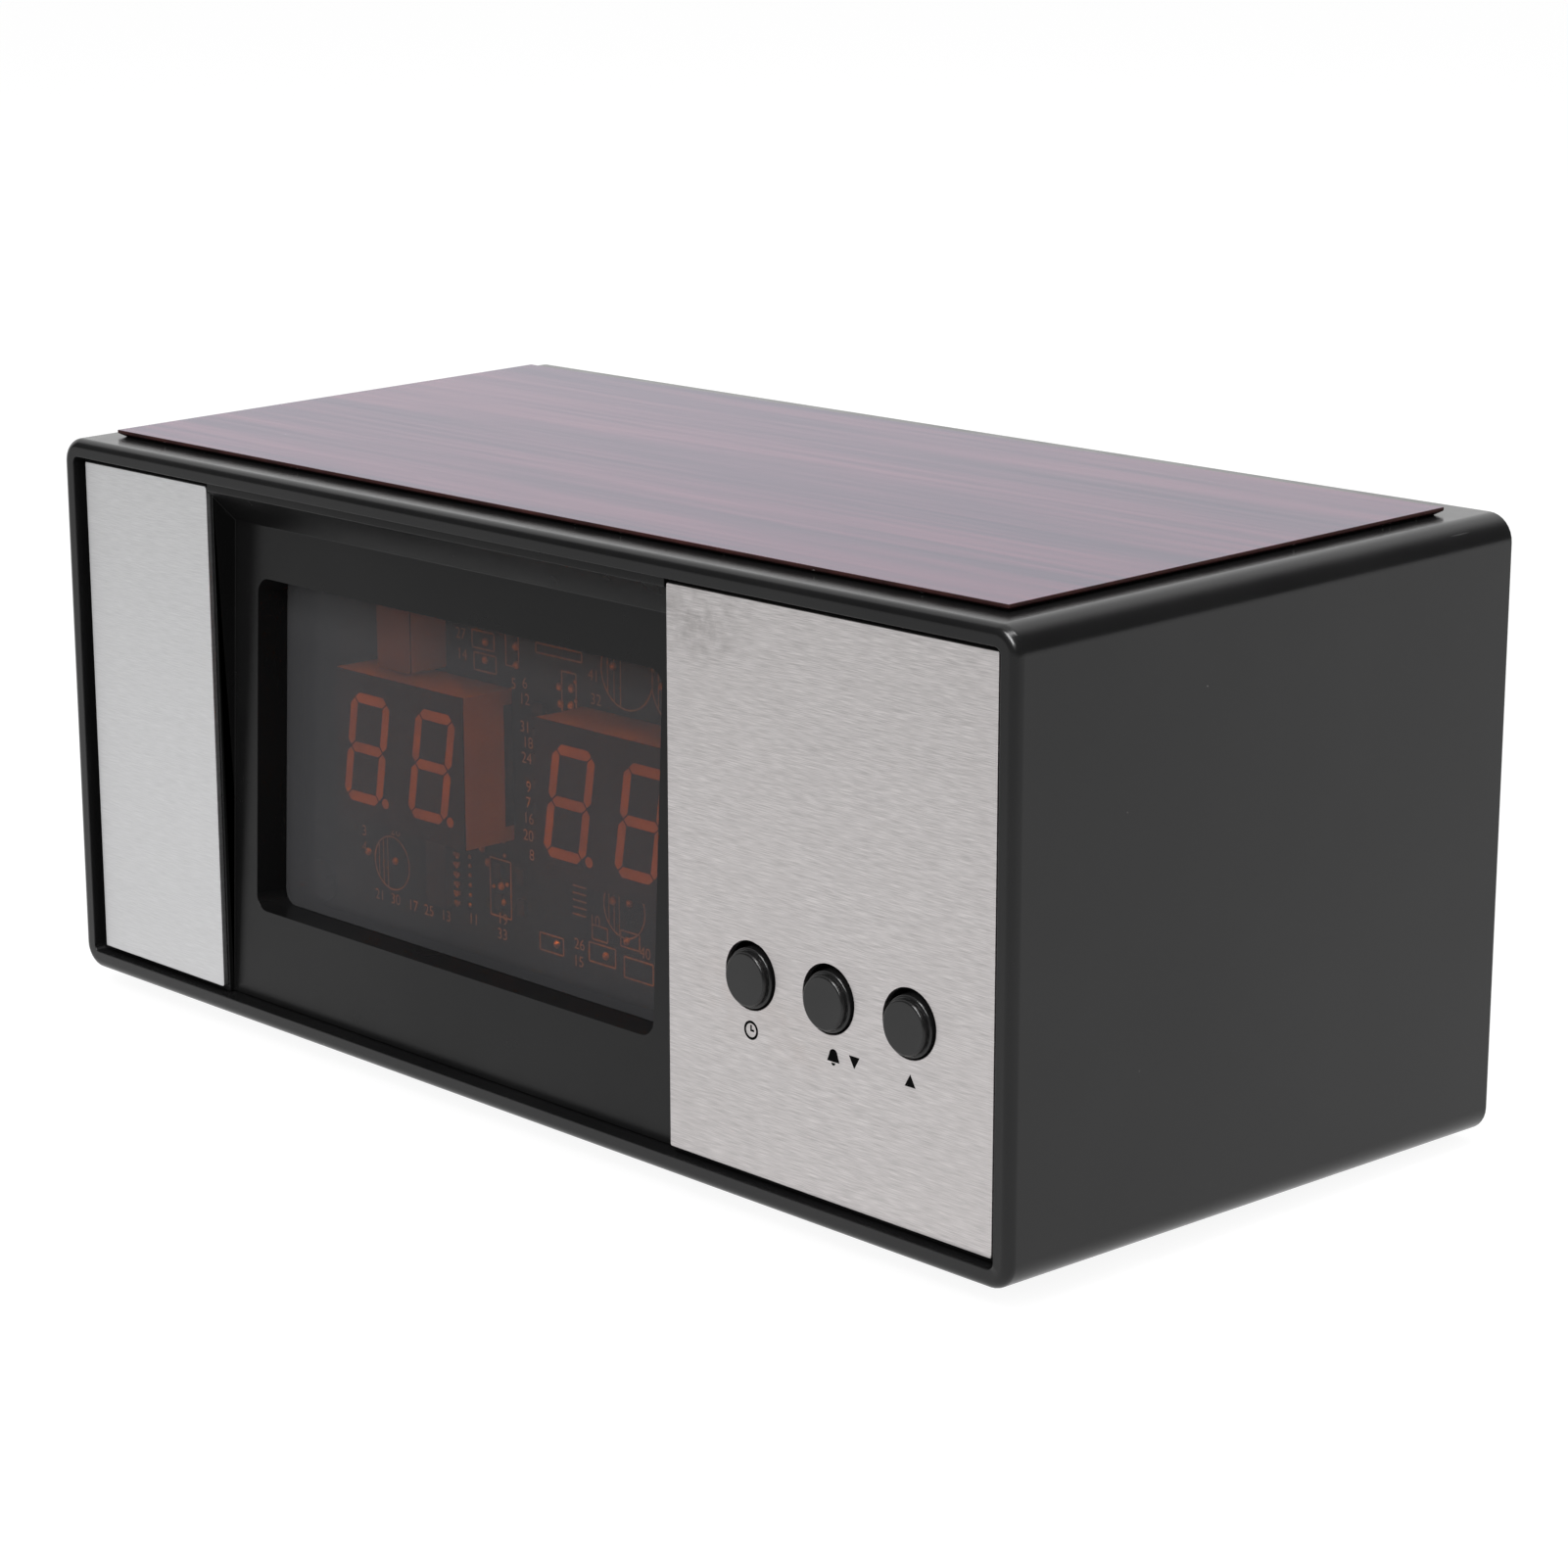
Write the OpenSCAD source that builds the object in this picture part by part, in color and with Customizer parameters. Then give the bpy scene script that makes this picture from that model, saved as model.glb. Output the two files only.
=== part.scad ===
/* [Case] */
// Outside width of the case at its front
case_w = 167.4; // [156:0.2:200]
// Outside height of the case at its front, without feet and top panel
case_h = 71; // [66:0.2:84]
// Outside depth of the case
case_d = 81.1; // [74:0.1:120]
// Angle in degrees at which the outside walls open towards the back
case_draft = 1; // [0.2:0.1:1.5]
// Wall thickness of the case at its front
case_wall = 2.3; // [2:0.1:3]
// Radius of the long outside edges of the case
case_edge_r = 3.2; // [3.1:0.1:6]
// Radius that rounds the outside of the front rim
rim_round = 1.2; // [0.4:0.1:1.5]
// How far the front rim stands proud of the trim plates
rim_proud = 0.9; // [0.9:0.1:2.5]
// Diameter of the screw posts in the corners of the case
post_d = 7; // [6:0.2:8]
// Distance of the screw posts from the inner walls
post_inset = 7; // [5.5:0.5:8.5]
// Thickness of the webs that tie the posts to the walls
web_t = 2; // [1.2:0.1:3]
// How far the back cover is set in from the rear edge
rear_recess = 1.5; // [1.3:0.1:4]
// Thickness of the back cover
cover_t = 2.5; // [2:0.1:4]
// Gap between the back cover and the case
cover_gap = 0.2; // [0.1:0.05:0.4]

/* [Front bezel] */
// Wall thickness of the bezel
bezel_t = 3; // [2.4:0.1:3.6]
// Gap between the bezel and the case
bezel_gap = 0.15; // [0.1:0.05:0.3]
// Depth of the display well below the soffit
well_top_depth = 4.2; // [3:0.1:7]
// Depth of the display well at its lower edge
well_bottom_depth = 1.5; // [1.2:0.1:3]
// Height of the sloped soffit over the well
soffit_h = 5.2; // [3:0.1:8]
// Height of the narrow land at the front of the soffit
soffit_land = 1; // [0.2:0.1:1.5]
// Thickness of the side walls of the well
well_side = 2.5; // [2:0.1:3.5]
// How far the bezel shows past the inner edges of the trim plates
pad_reveal = 0.3; // [0.1:0.05:0.8]
// Depth of the window opening behind the well face
collar_depth = 4.6; // [4:0.1:7]
// Width of the collar round the window opening
collar_w = 2.2; // [1.5:0.1:3]

/* [Trim plates] */
// Thickness of the trim plates
plate_t = 0.8; // [0.5:0.1:1.1]
// Gap between the left trim plate and the rim beside it
left_plate_gap = 1.4; // [0.2:0.1:1.6]
// Gap between the right trim plate and the rim beside it
right_plate_gap = 1; // [0.2:0.1:1.6]
// Gap between the trim plates and the rim above them
plate_top_gap = 0.6; // [0.2:0.1:1.2]
// Gap between the trim plates and the rim below them
plate_low_gap = 0.8; // [0.2:0.1:1.2]
// Width of the left trim plate
left_plate_w = 26.1; // [20:0.1:34]
// Width of the right trim plate
right_plate_w = 49.6; // [46:0.1:58]
// Radius of the corners of the trim plates
plate_r = 0.3; // [0.2:0.1:0.6]

/* [Window] */
// Distance of the window opening from the sides of the well
window_side = 4.7; // [4:0.1:8]
// Distance of the window opening from the lower edge of the well
window_below = 11.8; // [8:0.1:14]
// Distance of the window opening from the soffit
window_above = 6.6; // [5:0.1:9]
// Corner radius of the window opening
window_r = 2; // [1:0.1:4]
// Thickness of the smoked window
window_t = 2; // [1.5:0.1:3]
// How far the window laps behind the collar
window_lap = 2; // [1:0.1:3]

/* [Top panel] */
// Width of the top panel at its front
panel_w = 156.1; // [140:0.1:160]
// Depth of the top panel
panel_d = 71.1; // [60:0.1:76]
// Distance of the top panel from the front of the case
panel_front = 4.8; // [3:0.1:12]
// Thickness of the veneer sheet
veneer_t = 0.4; // [0.3:0.1:1]
// Thickness of the board under the veneer
board_base_t = 0.5; // [0.4:0.1:3]
// How far the sides of the board slope in towards the case
board_undercut = 0.8; // [0.2:0.1:1.5]

/* [Feet] */
// Diameter of the rubber feet
foot_d = 11; // [8:0.5:14]
// How far the feet stand below the rear edge of the case
foot_h = 1.2; // [0.8:0.1:4]
// Depth of the seats that hold the feet
foot_seat = 0.4; // [0.2:0.1:0.8]
// Distance of the feet's centres from the sides of the case
foot_inset = 13; // [10:0.5:20]

/* [Buttons] */
// Distance of the first button from the left edge of the right plate
button_start = 13.2; // [10:0.1:14]
// Spacing of the buttons
button_pitch = 12.1; // [11:0.1:12.5]
// Height of the buttons above the lower edge of the plate
button_rise = 23; // [20:0.1:40]
// Diameter of the button holes
button_hole_d = 7.8; // [7.4:0.1:8.4]
// Diameter of the button caps
cap_d = 6.9; // [6.4:0.1:7.2]
// How far the caps stand proud of the plate
cap_proud = 0.9; // [0.5:0.1:0.9]
// Diameter of the flange that keeps a cap behind the bezel
flange_d = 9.2; // [8.8:0.1:10]
// Travel of a button
button_travel = 0.5; // [0.3:0.05:0.8]
// Running gap behind, in front of and round the moving pieces
run_gap = 0.3; // [0.2:0.05:0.4]
// Width of the square body of a push switch
switch_w = 6; // [5.8:0.1:6.4]
// Height of the body of a push switch
switch_h = 3.5; // [3.4:0.1:4.5]
// Diameter of the plunger of a push switch
plunger_d = 3.4; // [3:0.1:3.6]

/* [Display] */
// Gap between the window and the faces of the digits
digit_gap = 0.7; // [0.4:0.1:3]
// Width of a two-digit module
module_w = 24.9; // [24:0.1:26]
// Height of a two-digit module
module_h = 19.2; // [18:0.1:20]
// Thickness of a two-digit module
module_t = 8; // [6:0.1:10]
// Distance between the centres of the two modules
module_pitch = 38.4; // [38:0.1:40]
// Distance between the two digits of a module
digit_pitch = 12.7; // [12.2:0.1:13]
// Height of a digit
digit_h = 14.2; // [12.5:0.1:14.8]
// Width of a digit
digit_w = 7.6; // [7:0.1:8]
// Width of a segment
segment_w = 1.3; // [1:0.1:1.6]
// Gap between neighbouring segments
segment_gap = 0.15; // [0.1:0.05:0.3]
// Depth of the segments in the face of the module
segment_t = 0.8; // [0.5:0.1:1.5]
// Slant of the digits in degrees
digit_slant = 9; // [0:0.5:10]

/* [Boards] */
// How far the main board reaches past the sides of the window opening
board_side = 12; // [10.5:0.1:14]
// How far the main board reaches above and below the window opening
board_rise = 4.8; // [4:0.1:5.5]
// Thickness of the boards
board_t = 1.6; // [1:0.1:2]
// Distance of the board's screw holes from its edges
board_hole_inset = 3.6; // [3.2:0.1:4.5]
// Diameter of the posts that carry the boards
standoff_d = 5.6; // [5:0.1:6]
// Height of the small board behind the buttons
button_board_h = 14; // [12:0.5:16]
// How far the small board reaches past its posts
button_board_edge = 0.4; // [0.2:0.1:0.8]

/* [Fasteners] */
// Diameter of the screws' shanks
screw_d = 2.2; // [1.8:0.1:2.4]
// Diameter of the screws' heads
screw_head_d = 4.4; // [4:0.1:5]
// Thickness of the screws' heads
screw_head_t = 1.4; // [1:0.1:1.6]
// Length of the screws' shanks
screw_l = 8; // [6:0.5:9]
// Clearance between a screw and its hole
screw_clear = 0.1; // [0.05:0.05:0.2]

/* [Power socket] */
// Distance of the power socket from the middle of the case
socket_x = 48; // [40:1:55]
// Height of the power socket above the floor of the case
socket_rise = 18; // [14:1:40]
// Diameter of the threaded bush of the socket
socket_bush_d = 8; // [7.6:0.1:9]
// Diameter of the hole for the plug
socket_bore_d = 5.7; // [5.6:0.1:6.2]
// Diameter of the centre pin of the socket
socket_pin_d = 2.1; // [1.3:0.1:2.5]
// Diameter of the outer flange of the socket
socket_flange_d = 11; // [10:0.5:13]
// Thickness of the outer flange of the socket
socket_flange_t = 1.2; // [0.8:0.1:1.2]
// Length of the socket inside the back cover
socket_l = 12; // [10:0.5:16]

/* [Hidden] */
$fn = 48;

black_plastic = [0.05, 0.05, 0.055];
brushed_metal = [0.76, 0.76, 0.75];
steel = [0.62, 0.63, 0.65];
pale_plastic = [0.85, 0.82, 0.76];
chip_black = [0.08, 0.08, 0.09];

cut = 1;
post_root = 0.5;
post_gap = 0.5;
board_r = 1;
inner_w = case_w - 2 * case_wall;
inner_h = case_h - 2 * case_wall;
inner_r = case_edge_r - case_wall;
front_y = -case_d / 2;
rear_y = case_d / 2;
rim_y = front_y + rim_round;
edge_facets = 32;
rear_land = 0.1;
slope = tan(case_draft);
spread = (rear_y - rear_land - rim_y) * slope;
case_z = foot_h + spread;
floor_z = case_z + case_wall;
mid_z = case_z + case_h / 2;

cover_back_y = rear_y - rear_recess;
cover_front_y = cover_back_y - cover_t;
plate_y = front_y + rim_proud;
plate_back_y = plate_y + plate_t;
bezel_back_y = plate_back_y + bezel_t;
plate_z = floor_z + plate_low_gap;
plate_h = inner_h - plate_low_gap - plate_top_gap;
left_plate_x = -inner_w / 2 + left_plate_gap;
right_plate_x = inner_w / 2 - right_plate_gap - right_plate_w;

well_l = left_plate_x + left_plate_w + pad_reveal;
well_r = right_plate_x - pad_reveal;
well_w = well_r - well_l;
well_c = (well_l + well_r) / 2;
well_bottom = floor_z + bezel_gap;
well_top = floor_z + inner_h - bezel_gap;
face_top = well_top - soffit_h;
face_lean = atan((well_top_depth - well_bottom_depth) / (face_top - well_bottom));
face_l = (face_top - well_bottom) / cos(face_lean);
window_w = well_w - 2 * window_side;
window_h = face_l - window_below - window_above;
window_mid = window_below + window_h / 2;
window_back = collar_depth + window_t;

post_x = inner_w / 2 - post_inset;
post_z = inner_h / 2 - post_inset;
screw_hole_d = screw_d + 2 * screw_clear;
head_hole_d = screw_head_d + 2 * screw_clear;
slot_l = screw_head_d * 0.6;
slot_w = 0.6;

window_top_l = window_mid + window_h / 2 + window_lap;
digit_y = plate_y + well_bottom_depth + window_top_l * sin(face_lean)
  + window_back * cos(face_lean) + digit_gap;
board_y = digit_y + module_t;
board_back_y = board_y + board_t;
board_z = well_bottom + window_mid * cos(face_lean);
board_w = window_w + 2 * board_side;
board_h = window_h + 2 * board_rise;
standoff_x = board_w / 2 - board_hole_inset;
standoff_z = board_h / 2 - board_hole_inset;
pin_row_z = 7.62;
pin_pitch = 2.54;
pin_d = 0.5;
pin_hole_d = 0.9;
pin_tail = 1.4;

button_x0 = right_plate_x + button_start;
button_z = plate_z + button_rise;
cap_front_y = plate_y - cap_proud;
cap_step_in = 0.55;
cap_step_d = cap_d - 2 * cap_step_in;
cap_step_t = 0.7;
cap_step_r = 0.45;
cap_ring_r = 0.25;
flange_y = bezel_back_y + run_gap;
flange_t = 1;
hub_wall = 0.7;
hub_d = plunger_d + 2 * hub_wall;
hub_l = 1;
hub_back_y = flange_y + flange_t + hub_l;
cap_socket_l = 1.5;
plunger_gap = 0.05;
switch_y = hub_back_y + button_travel + run_gap;
switch_cover_t = 0.3;
switch_body_y = switch_y + switch_cover_t;
button_board_y = switch_y + switch_h;
plunger_collar_w = 0.3;
plunger_collar_d = plunger_d + 2 * plunger_collar_w;
plunger_collar_t = 0.6;
switch_well_d = plunger_collar_d + 2 * run_gap;
dome_h = 0.3;
dome_t = 0.12;
switch_well_l = run_gap + plunger_collar_t + button_travel + run_gap + dome_h;
leg_d = 0.7;
leg_x = 2.1;
leg_z = 2.25;
leg_tail = 1.2;
leg_hole_d = 1;
button_end_x = flange_d / 2 + post_gap + standoff_d / 2;
button_board_w = 2 * (button_pitch + button_end_x + standoff_d / 2 + button_board_edge);
header_w = 5;
header_h = 8;
header_t = 6;
header_r = 0.4;
header_inset = 10;

ribbon_w = 6.4;
ribbon_t = 1;
ribbon_r = 4;
ribbon_slack = 9;
ribbon_x1 = well_c + board_w / 2 - header_inset;
ribbon_x2 = button_x0 + button_pitch / 2;
ribbon_y1 = board_back_y + header_t;
ribbon_y2 = button_board_y + board_t + header_t;
ribbon_back = max(ribbon_y1, ribbon_y2) + ribbon_slack;

socket_z = floor_z + socket_rise;
socket_bore_l = 9;
socket_pin_l = 7.5;
socket_nut_t = 2;
socket_nut_wall = 1.7;
socket_nut_w = socket_bush_d + 2 * socket_nut_wall;
terminal_l = 5;
terminal_x = 2.2;
terminal_t = 0.5;
terminal_w = 2;
lead_d = 1.5;
lead_gap = 2.6;
power_header_x = -board_w / 2 + header_inset;
lead_steps = 14;
lead_sides = 8;

digit_lean = tan(digit_slant);
dot_gap = 0.75;
chip_pitch = 1.27;
chip_gap = 2.1;
film_gap = 0.6;
chip_foot_l = 1.1;
chip_foot_w = 0.45;
chip_foot_t = 0.25;
driver_legs = 7;
driver_w = 3.9;
driver_h = driver_legs * chip_pitch;
driver_t = 1.5;
driver_x = -20.5;
driver_z = -module_h / 2 - chip_gap - driver_h / 2;
controller_legs = 10;
controller_w = 7.5;
controller_h = controller_legs * chip_pitch;
controller_t = 2.3;
resistor_l = 2;
resistor_w = 1.25;
resistor_t = 0.55;
resistor_column = [for (i = [0:5]) [-1.5, 8 - 3.2 * i]];
resistor_group = [[-9.6, -14], [-9.6, -18], [-5.2, -14], [-5.2, -18]];
film_w = 6.4;
film_h = 9;
film_t = 5.8;
film_r = 0.5;
film_x = -22.5;
film_z = module_h / 2 + film_gap + film_h / 2;
can_groove_l = 1.6;
can_groove_t = 0.35;
large_can_d = 8;
large_can_h = 11.5;
large_can_at = [14.4, 15];
small_can_d = 6.3;
small_can_h = 11;
small_cans_at = [[13.5, -14.3], [-31.2, -17.4]];
crystal_w = 11;
crystal_h = 4.6;
crystal_t = 3.5;
crystal_r = 2.2;
crystal_at = [-2, -14];
buzzer_d = 12;
buzzer_h = 8.5;
buzzer_hole_d = 2;
buzzer_at = [28, 13];
cell_d = 12.5;
cell_t = 2;
cell_gap = 0.15;
cell_at = [-16, 16.6];
holder_w = 15;
holder_h = 14;
holder_t = 4;

// A flat rectangle with round corners, centred
module rounded_rect(w, h, r) {
  square([w - 2 * r, h], center = true);
  square([w, h - 2 * r], center = true);
  for (sx = [-1, 1], sy = [-1, 1])
    translate([sx * (w / 2 - r), sy * (h / 2 - r)])
      circle(r);
}

// Stands a flat outline up in X and Z and gives it a depth along Y
module slab(y0, t) {
  translate([0, y0, 0])
    rotate([90, 0, 0])
      translate([0, 0, -t])
        linear_extrude(t)
          children();
}

// Extrudes an outline drawn in Y and Z along X
module side_profile(x0, w) {
  translate([x0, 0, 0])
    rotate([90, 0, 90])
      linear_extrude(w)
        children();
}

// A round bar along Y
module bar(y0, l, d) {
  translate([0, y0, 0])
    rotate([-90, 0, 0])
      cylinder(d = d, h = l);
}

// A hole along Y that is cut through both ends of its length
module hole(y0, l, d) {
  bar(y0 - cut, l + 2 * cut, d);
}

module at_corner_posts() {
  for (sx = [-1, 1], sz = [-1, 1])
    translate([sx * post_x, 0, mid_z + sz * post_z])
      children();
}

module at_standoffs() {
  for (sx = [-1, 1], sz = [-1, 1])
    translate([well_c + sx * standoff_x, 0, board_z + sz * standoff_z])
      children();
}

module at_button(i) {
  translate([button_x0 + i * button_pitch, 0, button_z])
    children();
}

module at_button_standoffs() {
  for (x = [button_x0 - button_end_x, button_x0 + 2 * button_pitch + button_end_x])
    translate([x, 0, button_z])
      children();
}

// How far the draft has opened each wall at this depth
function opened(y) = (y - rim_y) * slope;

// The feet, this wide, from the table up into their seats in the sloping underside
module feet(d) {
  for (sx = [-1, 1], y = [front_y + foot_inset, rear_y - foot_inset])
    translate([sx * (case_w / 2 - foot_inset), y, 0])
      cylinder(d = d, h = case_z - opened(y) + foot_seat);
}

// The sloping top of the case: X across it, Y back from the panel's front edge, Z off it
module on_top() {
  panel_y = front_y + panel_front;
  translate([0, panel_y, case_z + case_h + opened(panel_y)])
    rotate([case_draft, 0, 0])
      children();
}

// The leaning face of the well: X along it, Y into the case, Z up the face
module on_face() {
  translate([well_c, plate_y + well_bottom_depth, well_bottom])
    rotate([-face_lean, 0, 0])
      children();
}

// A screw whose head's seat is at y0, with the shank along -Y
module screw_forward(y0) {
  difference() {
    union() {
      bar(y0, screw_head_t, screw_head_d);
      bar(y0 - screw_l, screw_l, screw_d);
    }
    drive_slots(y0 + screw_head_t / 2, screw_head_t);
  }
}

// A screw whose head's seat is at y0, with the shank along +Y
module screw_backward(y0) {
  difference() {
    union() {
      bar(y0 - screw_head_t, screw_head_t, screw_head_d);
      bar(y0, screw_l, screw_d);
    }
    drive_slots(y0 - screw_head_t / 2 - screw_head_t, screw_head_t);
  }
}

module drive_slots(y0, t) {
  for (a = [0, 90])
    rotate([0, a, 0])
      translate([-slot_l / 2, y0, -slot_w / 2])
        cube([slot_l, t, slot_w]);
}

// A disc as wide as a corner of the rim, with its front edge rounded
module rim_disc() {
  translate([0, front_y, 0])
    rotate([-90, 0, 0])
      rotate_extrude()
        intersection() {
          square([case_edge_r, rim_round]);
          union() {
            square([case_edge_r - rim_round, rim_round]);
            translate([case_edge_r - rim_round, rim_round])
              circle(rim_round);
          }
        }
}

// The walls are drawn over a rounded disc in each front corner and a plain one in each rear corner
module case_outline() {
  edge_x = case_w / 2 - case_edge_r;
  edge_z = case_h / 2 - case_edge_r;
  hull()
    for (sx = [-1, 1], sz = [-1, 1]) {
      translate([sx * edge_x, 0, mid_z + sz * edge_z])
        rim_disc($fn = edge_facets);
      translate([sx * (edge_x + spread), 0, mid_z + sz * (edge_z + spread)])
        bar(rear_y - rear_land, rear_land, 2 * case_edge_r, $fn = edge_facets);
    }
}

module corner_posts() {
  post_l = cover_front_y - bezel_back_y;
  reach = post_inset + case_wall / 2;
  at_corner_posts()
    bar(bezel_back_y, post_l, post_d);
  for (sx = [-1, 1], sz = [-1, 1]) {
    translate([sx * (post_x + reach / 2) - reach / 2, bezel_back_y, mid_z + sz * post_z - web_t / 2])
      cube([reach, post_l, web_t]);
    translate([sx * post_x - web_t / 2, bezel_back_y, mid_z + sz * (post_z + reach / 2) - reach / 2])
      cube([web_t, post_l, reach]);
  }
}

module case_shell() {
  color(black_plastic)
    difference() {
      union() {
        difference() {
          case_outline();
          slab(front_y - cut, case_d + 2 * cut)
            translate([0, mid_z])
              rounded_rect(inner_w, inner_h, inner_r);
        }
        corner_posts();
      }
      at_corner_posts() {
        hole(bezel_back_y, screw_l, screw_hole_d);
        hole(cover_front_y - screw_l, screw_l, screw_hole_d);
      }
      feet(foot_d + 2 * cover_gap);
    }
}

// The well's wall in Y and Z, from its soffit down its leaning face
module well_outline() {
  polygon([
    [plate_y, well_top],
    [plate_y, well_top - soffit_land],
    [plate_y + well_top_depth, face_top],
    [plate_y + well_bottom_depth, well_bottom],
    [plate_y + well_bottom_depth + bezel_t, well_bottom],
    [plate_y + well_top_depth + bezel_t, face_top],
    [plate_y + well_top_depth + bezel_t, well_top]
  ]);
}

module well_side_outline() {
  polygon([
    [plate_back_y, well_top],
    [plate_back_y, well_bottom],
    [plate_y + well_bottom_depth + bezel_t, well_bottom],
    [plate_y + well_top_depth + bezel_t, face_top],
    [plate_y + well_top_depth + bezel_t, well_top]
  ]);
}

module front_bezel() {
  color(black_plastic)
    difference() {
      union() {
        slab(plate_back_y, bezel_t)
          difference() {
            translate([0, mid_z])
              rounded_rect(inner_w - 2 * bezel_gap, inner_h - 2 * bezel_gap, inner_r);
            translate([well_c, mid_z])
              square([well_w, case_h], center = true);
          }
        side_profile(well_l, well_w)
          well_outline();
        for (x = [well_l - well_side, well_r])
          side_profile(x, well_side)
            well_side_outline();
        on_face()
          slab(bezel_t / 2, collar_depth - bezel_t / 2)
            translate([0, window_mid])
              rounded_rect(window_w + 2 * collar_w, window_h + 2 * collar_w, window_r + collar_w);
        at_standoffs()
          bar(bezel_back_y - post_root, board_y - bezel_back_y + post_root, standoff_d);
        at_button_standoffs()
          bar(bezel_back_y - post_root, button_board_y - bezel_back_y + post_root, standoff_d);
      }
      on_face()
        slab(-well_top_depth - rim_proud, collar_depth + 2 * well_top_depth + rim_proud)
          translate([0, window_mid])
            rounded_rect(window_w, window_h, window_r);
      for (i = [0:2])
        at_button(i)
          hole(plate_back_y, bezel_t, button_hole_d);
      at_corner_posts() {
        hole(plate_back_y, bezel_t, screw_hole_d);
        bar(plate_back_y - cut, cut + screw_head_t + screw_clear, head_hole_d);
      }
      at_standoffs()
        hole(board_y - screw_l, screw_l, screw_hole_d);
      at_button_standoffs()
        hole(button_board_y + board_t - screw_l, screw_l - board_t, screw_hole_d);
    }
}

module trim_plate(x0, w) {
  slab(plate_y, plate_t)
    translate([x0 + w / 2, plate_z + plate_h / 2])
      rounded_rect(w, plate_h, plate_r);
}

module left_trim_plate() {
  color(brushed_metal)
    trim_plate(left_plate_x, left_plate_w);
}

module right_trim_plate() {
  color(brushed_metal)
    difference() {
      trim_plate(right_plate_x, right_plate_w);
      for (i = [0:2])
        at_button(i)
          hole(plate_y, plate_t, button_hole_d);
    }
}

module display_window() {
  color([0.25, 0.08, 0.03, 0.55])
    on_face()
      slab(collar_depth, window_t)
        translate([0, window_mid])
          rounded_rect(window_w + 2 * window_lap, window_h + 2 * window_lap, window_r + window_lap);
}

// The panel widens with the case towards the back
module panel_outline() {
  front = panel_w / 2;
  rear = front + panel_d * slope;
  polygon([[-front, -panel_d / 2], [front, -panel_d / 2], [rear, panel_d / 2], [-rear, panel_d / 2]]);
}

// The sides of the board slope in under the veneer
module top_board() {
  far = panel_w;
  color([0.06, 0.05, 0.05])
    on_top()
      intersection() {
        side_profile(-far, 2 * far)
          polygon([
            [board_undercut, 0],
            [panel_d - board_undercut, 0],
            [panel_d, board_base_t],
            [0, board_base_t]
          ]);
        intersection_for(s = [-1, 1])
          translate([s * panel_w / 2, 0, 0])
            rotate([0, 0, -s * case_draft])
              slab(-far, panel_d + 2 * far)
                polygon([
                  [0, board_base_t],
                  [-s * board_undercut, 0],
                  [-s * 2 * far, 0],
                  [-s * 2 * far, board_base_t]
                ]);
      }
}

module top_veneer() {
  color([0.24, 0.11, 0.12])
    on_top()
      translate([0, panel_d / 2, board_base_t])
        linear_extrude(veneer_t)
          panel_outline();
}

module back_cover() {
  color(black_plastic)
    difference() {
      slab(cover_front_y, cover_t)
        translate([0, mid_z])
          rounded_rect(inner_w - 2 * cover_gap, inner_h - 2 * cover_gap, inner_r);
      at_corner_posts() {
        hole(cover_front_y, cover_t, screw_hole_d);
        bar(cover_back_y - screw_head_t, screw_head_t + cut, head_hole_d);
      }
      at_socket()
        hole(cover_front_y, cover_t, socket_bush_d + 2 * screw_clear);
    }
}

module rubber_feet() {
  color([0.07, 0.07, 0.07])
    feet(foot_d);
}

module back_cover_screws() {
  color(steel)
    at_corner_posts()
      screw_forward(cover_back_y - screw_head_t);
}

module bezel_screws() {
  color(steel)
    at_corner_posts()
      screw_backward(plate_back_y + screw_head_t + screw_clear);
}

module main_board() {
  color([0.07, 0.16, 0.12])
    difference() {
      slab(board_y, board_t)
        translate([well_c, board_z])
          rounded_rect(board_w, board_h, board_r);
      at_standoffs()
        hole(board_y, board_t, screw_hole_d);
      at_digit_pins()
        hole(board_y, board_t, pin_hole_d);
    }
}

module main_board_screws() {
  color(steel)
    at_standoffs()
      screw_forward(board_back_y);
}

module at_digit_pins() {
  for (m = [-1, 1], i = [-2:2], s = [-1, 1])
    translate([well_c + m * module_pitch / 2 + i * pin_pitch, 0, board_z + s * pin_row_z])
      children();
}

module digit_pins() {
  color(steel)
    at_digit_pins()
      bar(board_y, board_t + pin_tail, pin_d);
}

// A flat bar of a digit, pointed at both ends and slanted with the digit
module segment(x, z, half_l, upright) {
  h = segment_w / 2;
  tips = [[-half_l, 0], [h - half_l, h], [half_l - h, h], [half_l, 0], [half_l - h, -h], [h - half_l, -h]];
  turned = [for (p = tips) upright ? [x - p[1], z + p[0]] : [x + p[0], z + p[1]]];
  polygon([for (p = turned) [p[0] + p[1] * digit_lean, p[1]]]);
}

module digit_face() {
  across = (digit_w - segment_w) / 2;
  up = (digit_h - segment_w) / 4;
  for (k = [-1, 0, 1])
    segment(0, 2 * k * up, across - segment_gap, false);
  for (sx = [-1, 1], sz = [-1, 1])
    segment(sx * across, sz * up, up - segment_gap, true);
  translate([digit_w / 2 + dot_gap - digit_h / 2 * digit_lean, segment_w / 2 - digit_h / 2])
    circle(d = segment_w);
}

module module_segments(side) {
  slab(digit_y, segment_t)
    translate([well_c + side * module_pitch / 2, board_z])
      for (s = [-1, 1])
        translate([s * digit_pitch / 2, 0])
          digit_face();
}

module digit_housing(side) {
  difference() {
    slab(digit_y, module_t)
      translate([well_c + side * module_pitch / 2, board_z])
        square([module_w, module_h], center = true);
    module_segments(side);
  }
}

module left_digit_housing() {
  color(pale_plastic)
    digit_housing(-1);
}

module right_digit_housing() {
  color(pale_plastic)
    digit_housing(1);
}

module left_digit_segments() {
  color([0.9, 0.5, 0.25])
    module_segments(-1);
}

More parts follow.
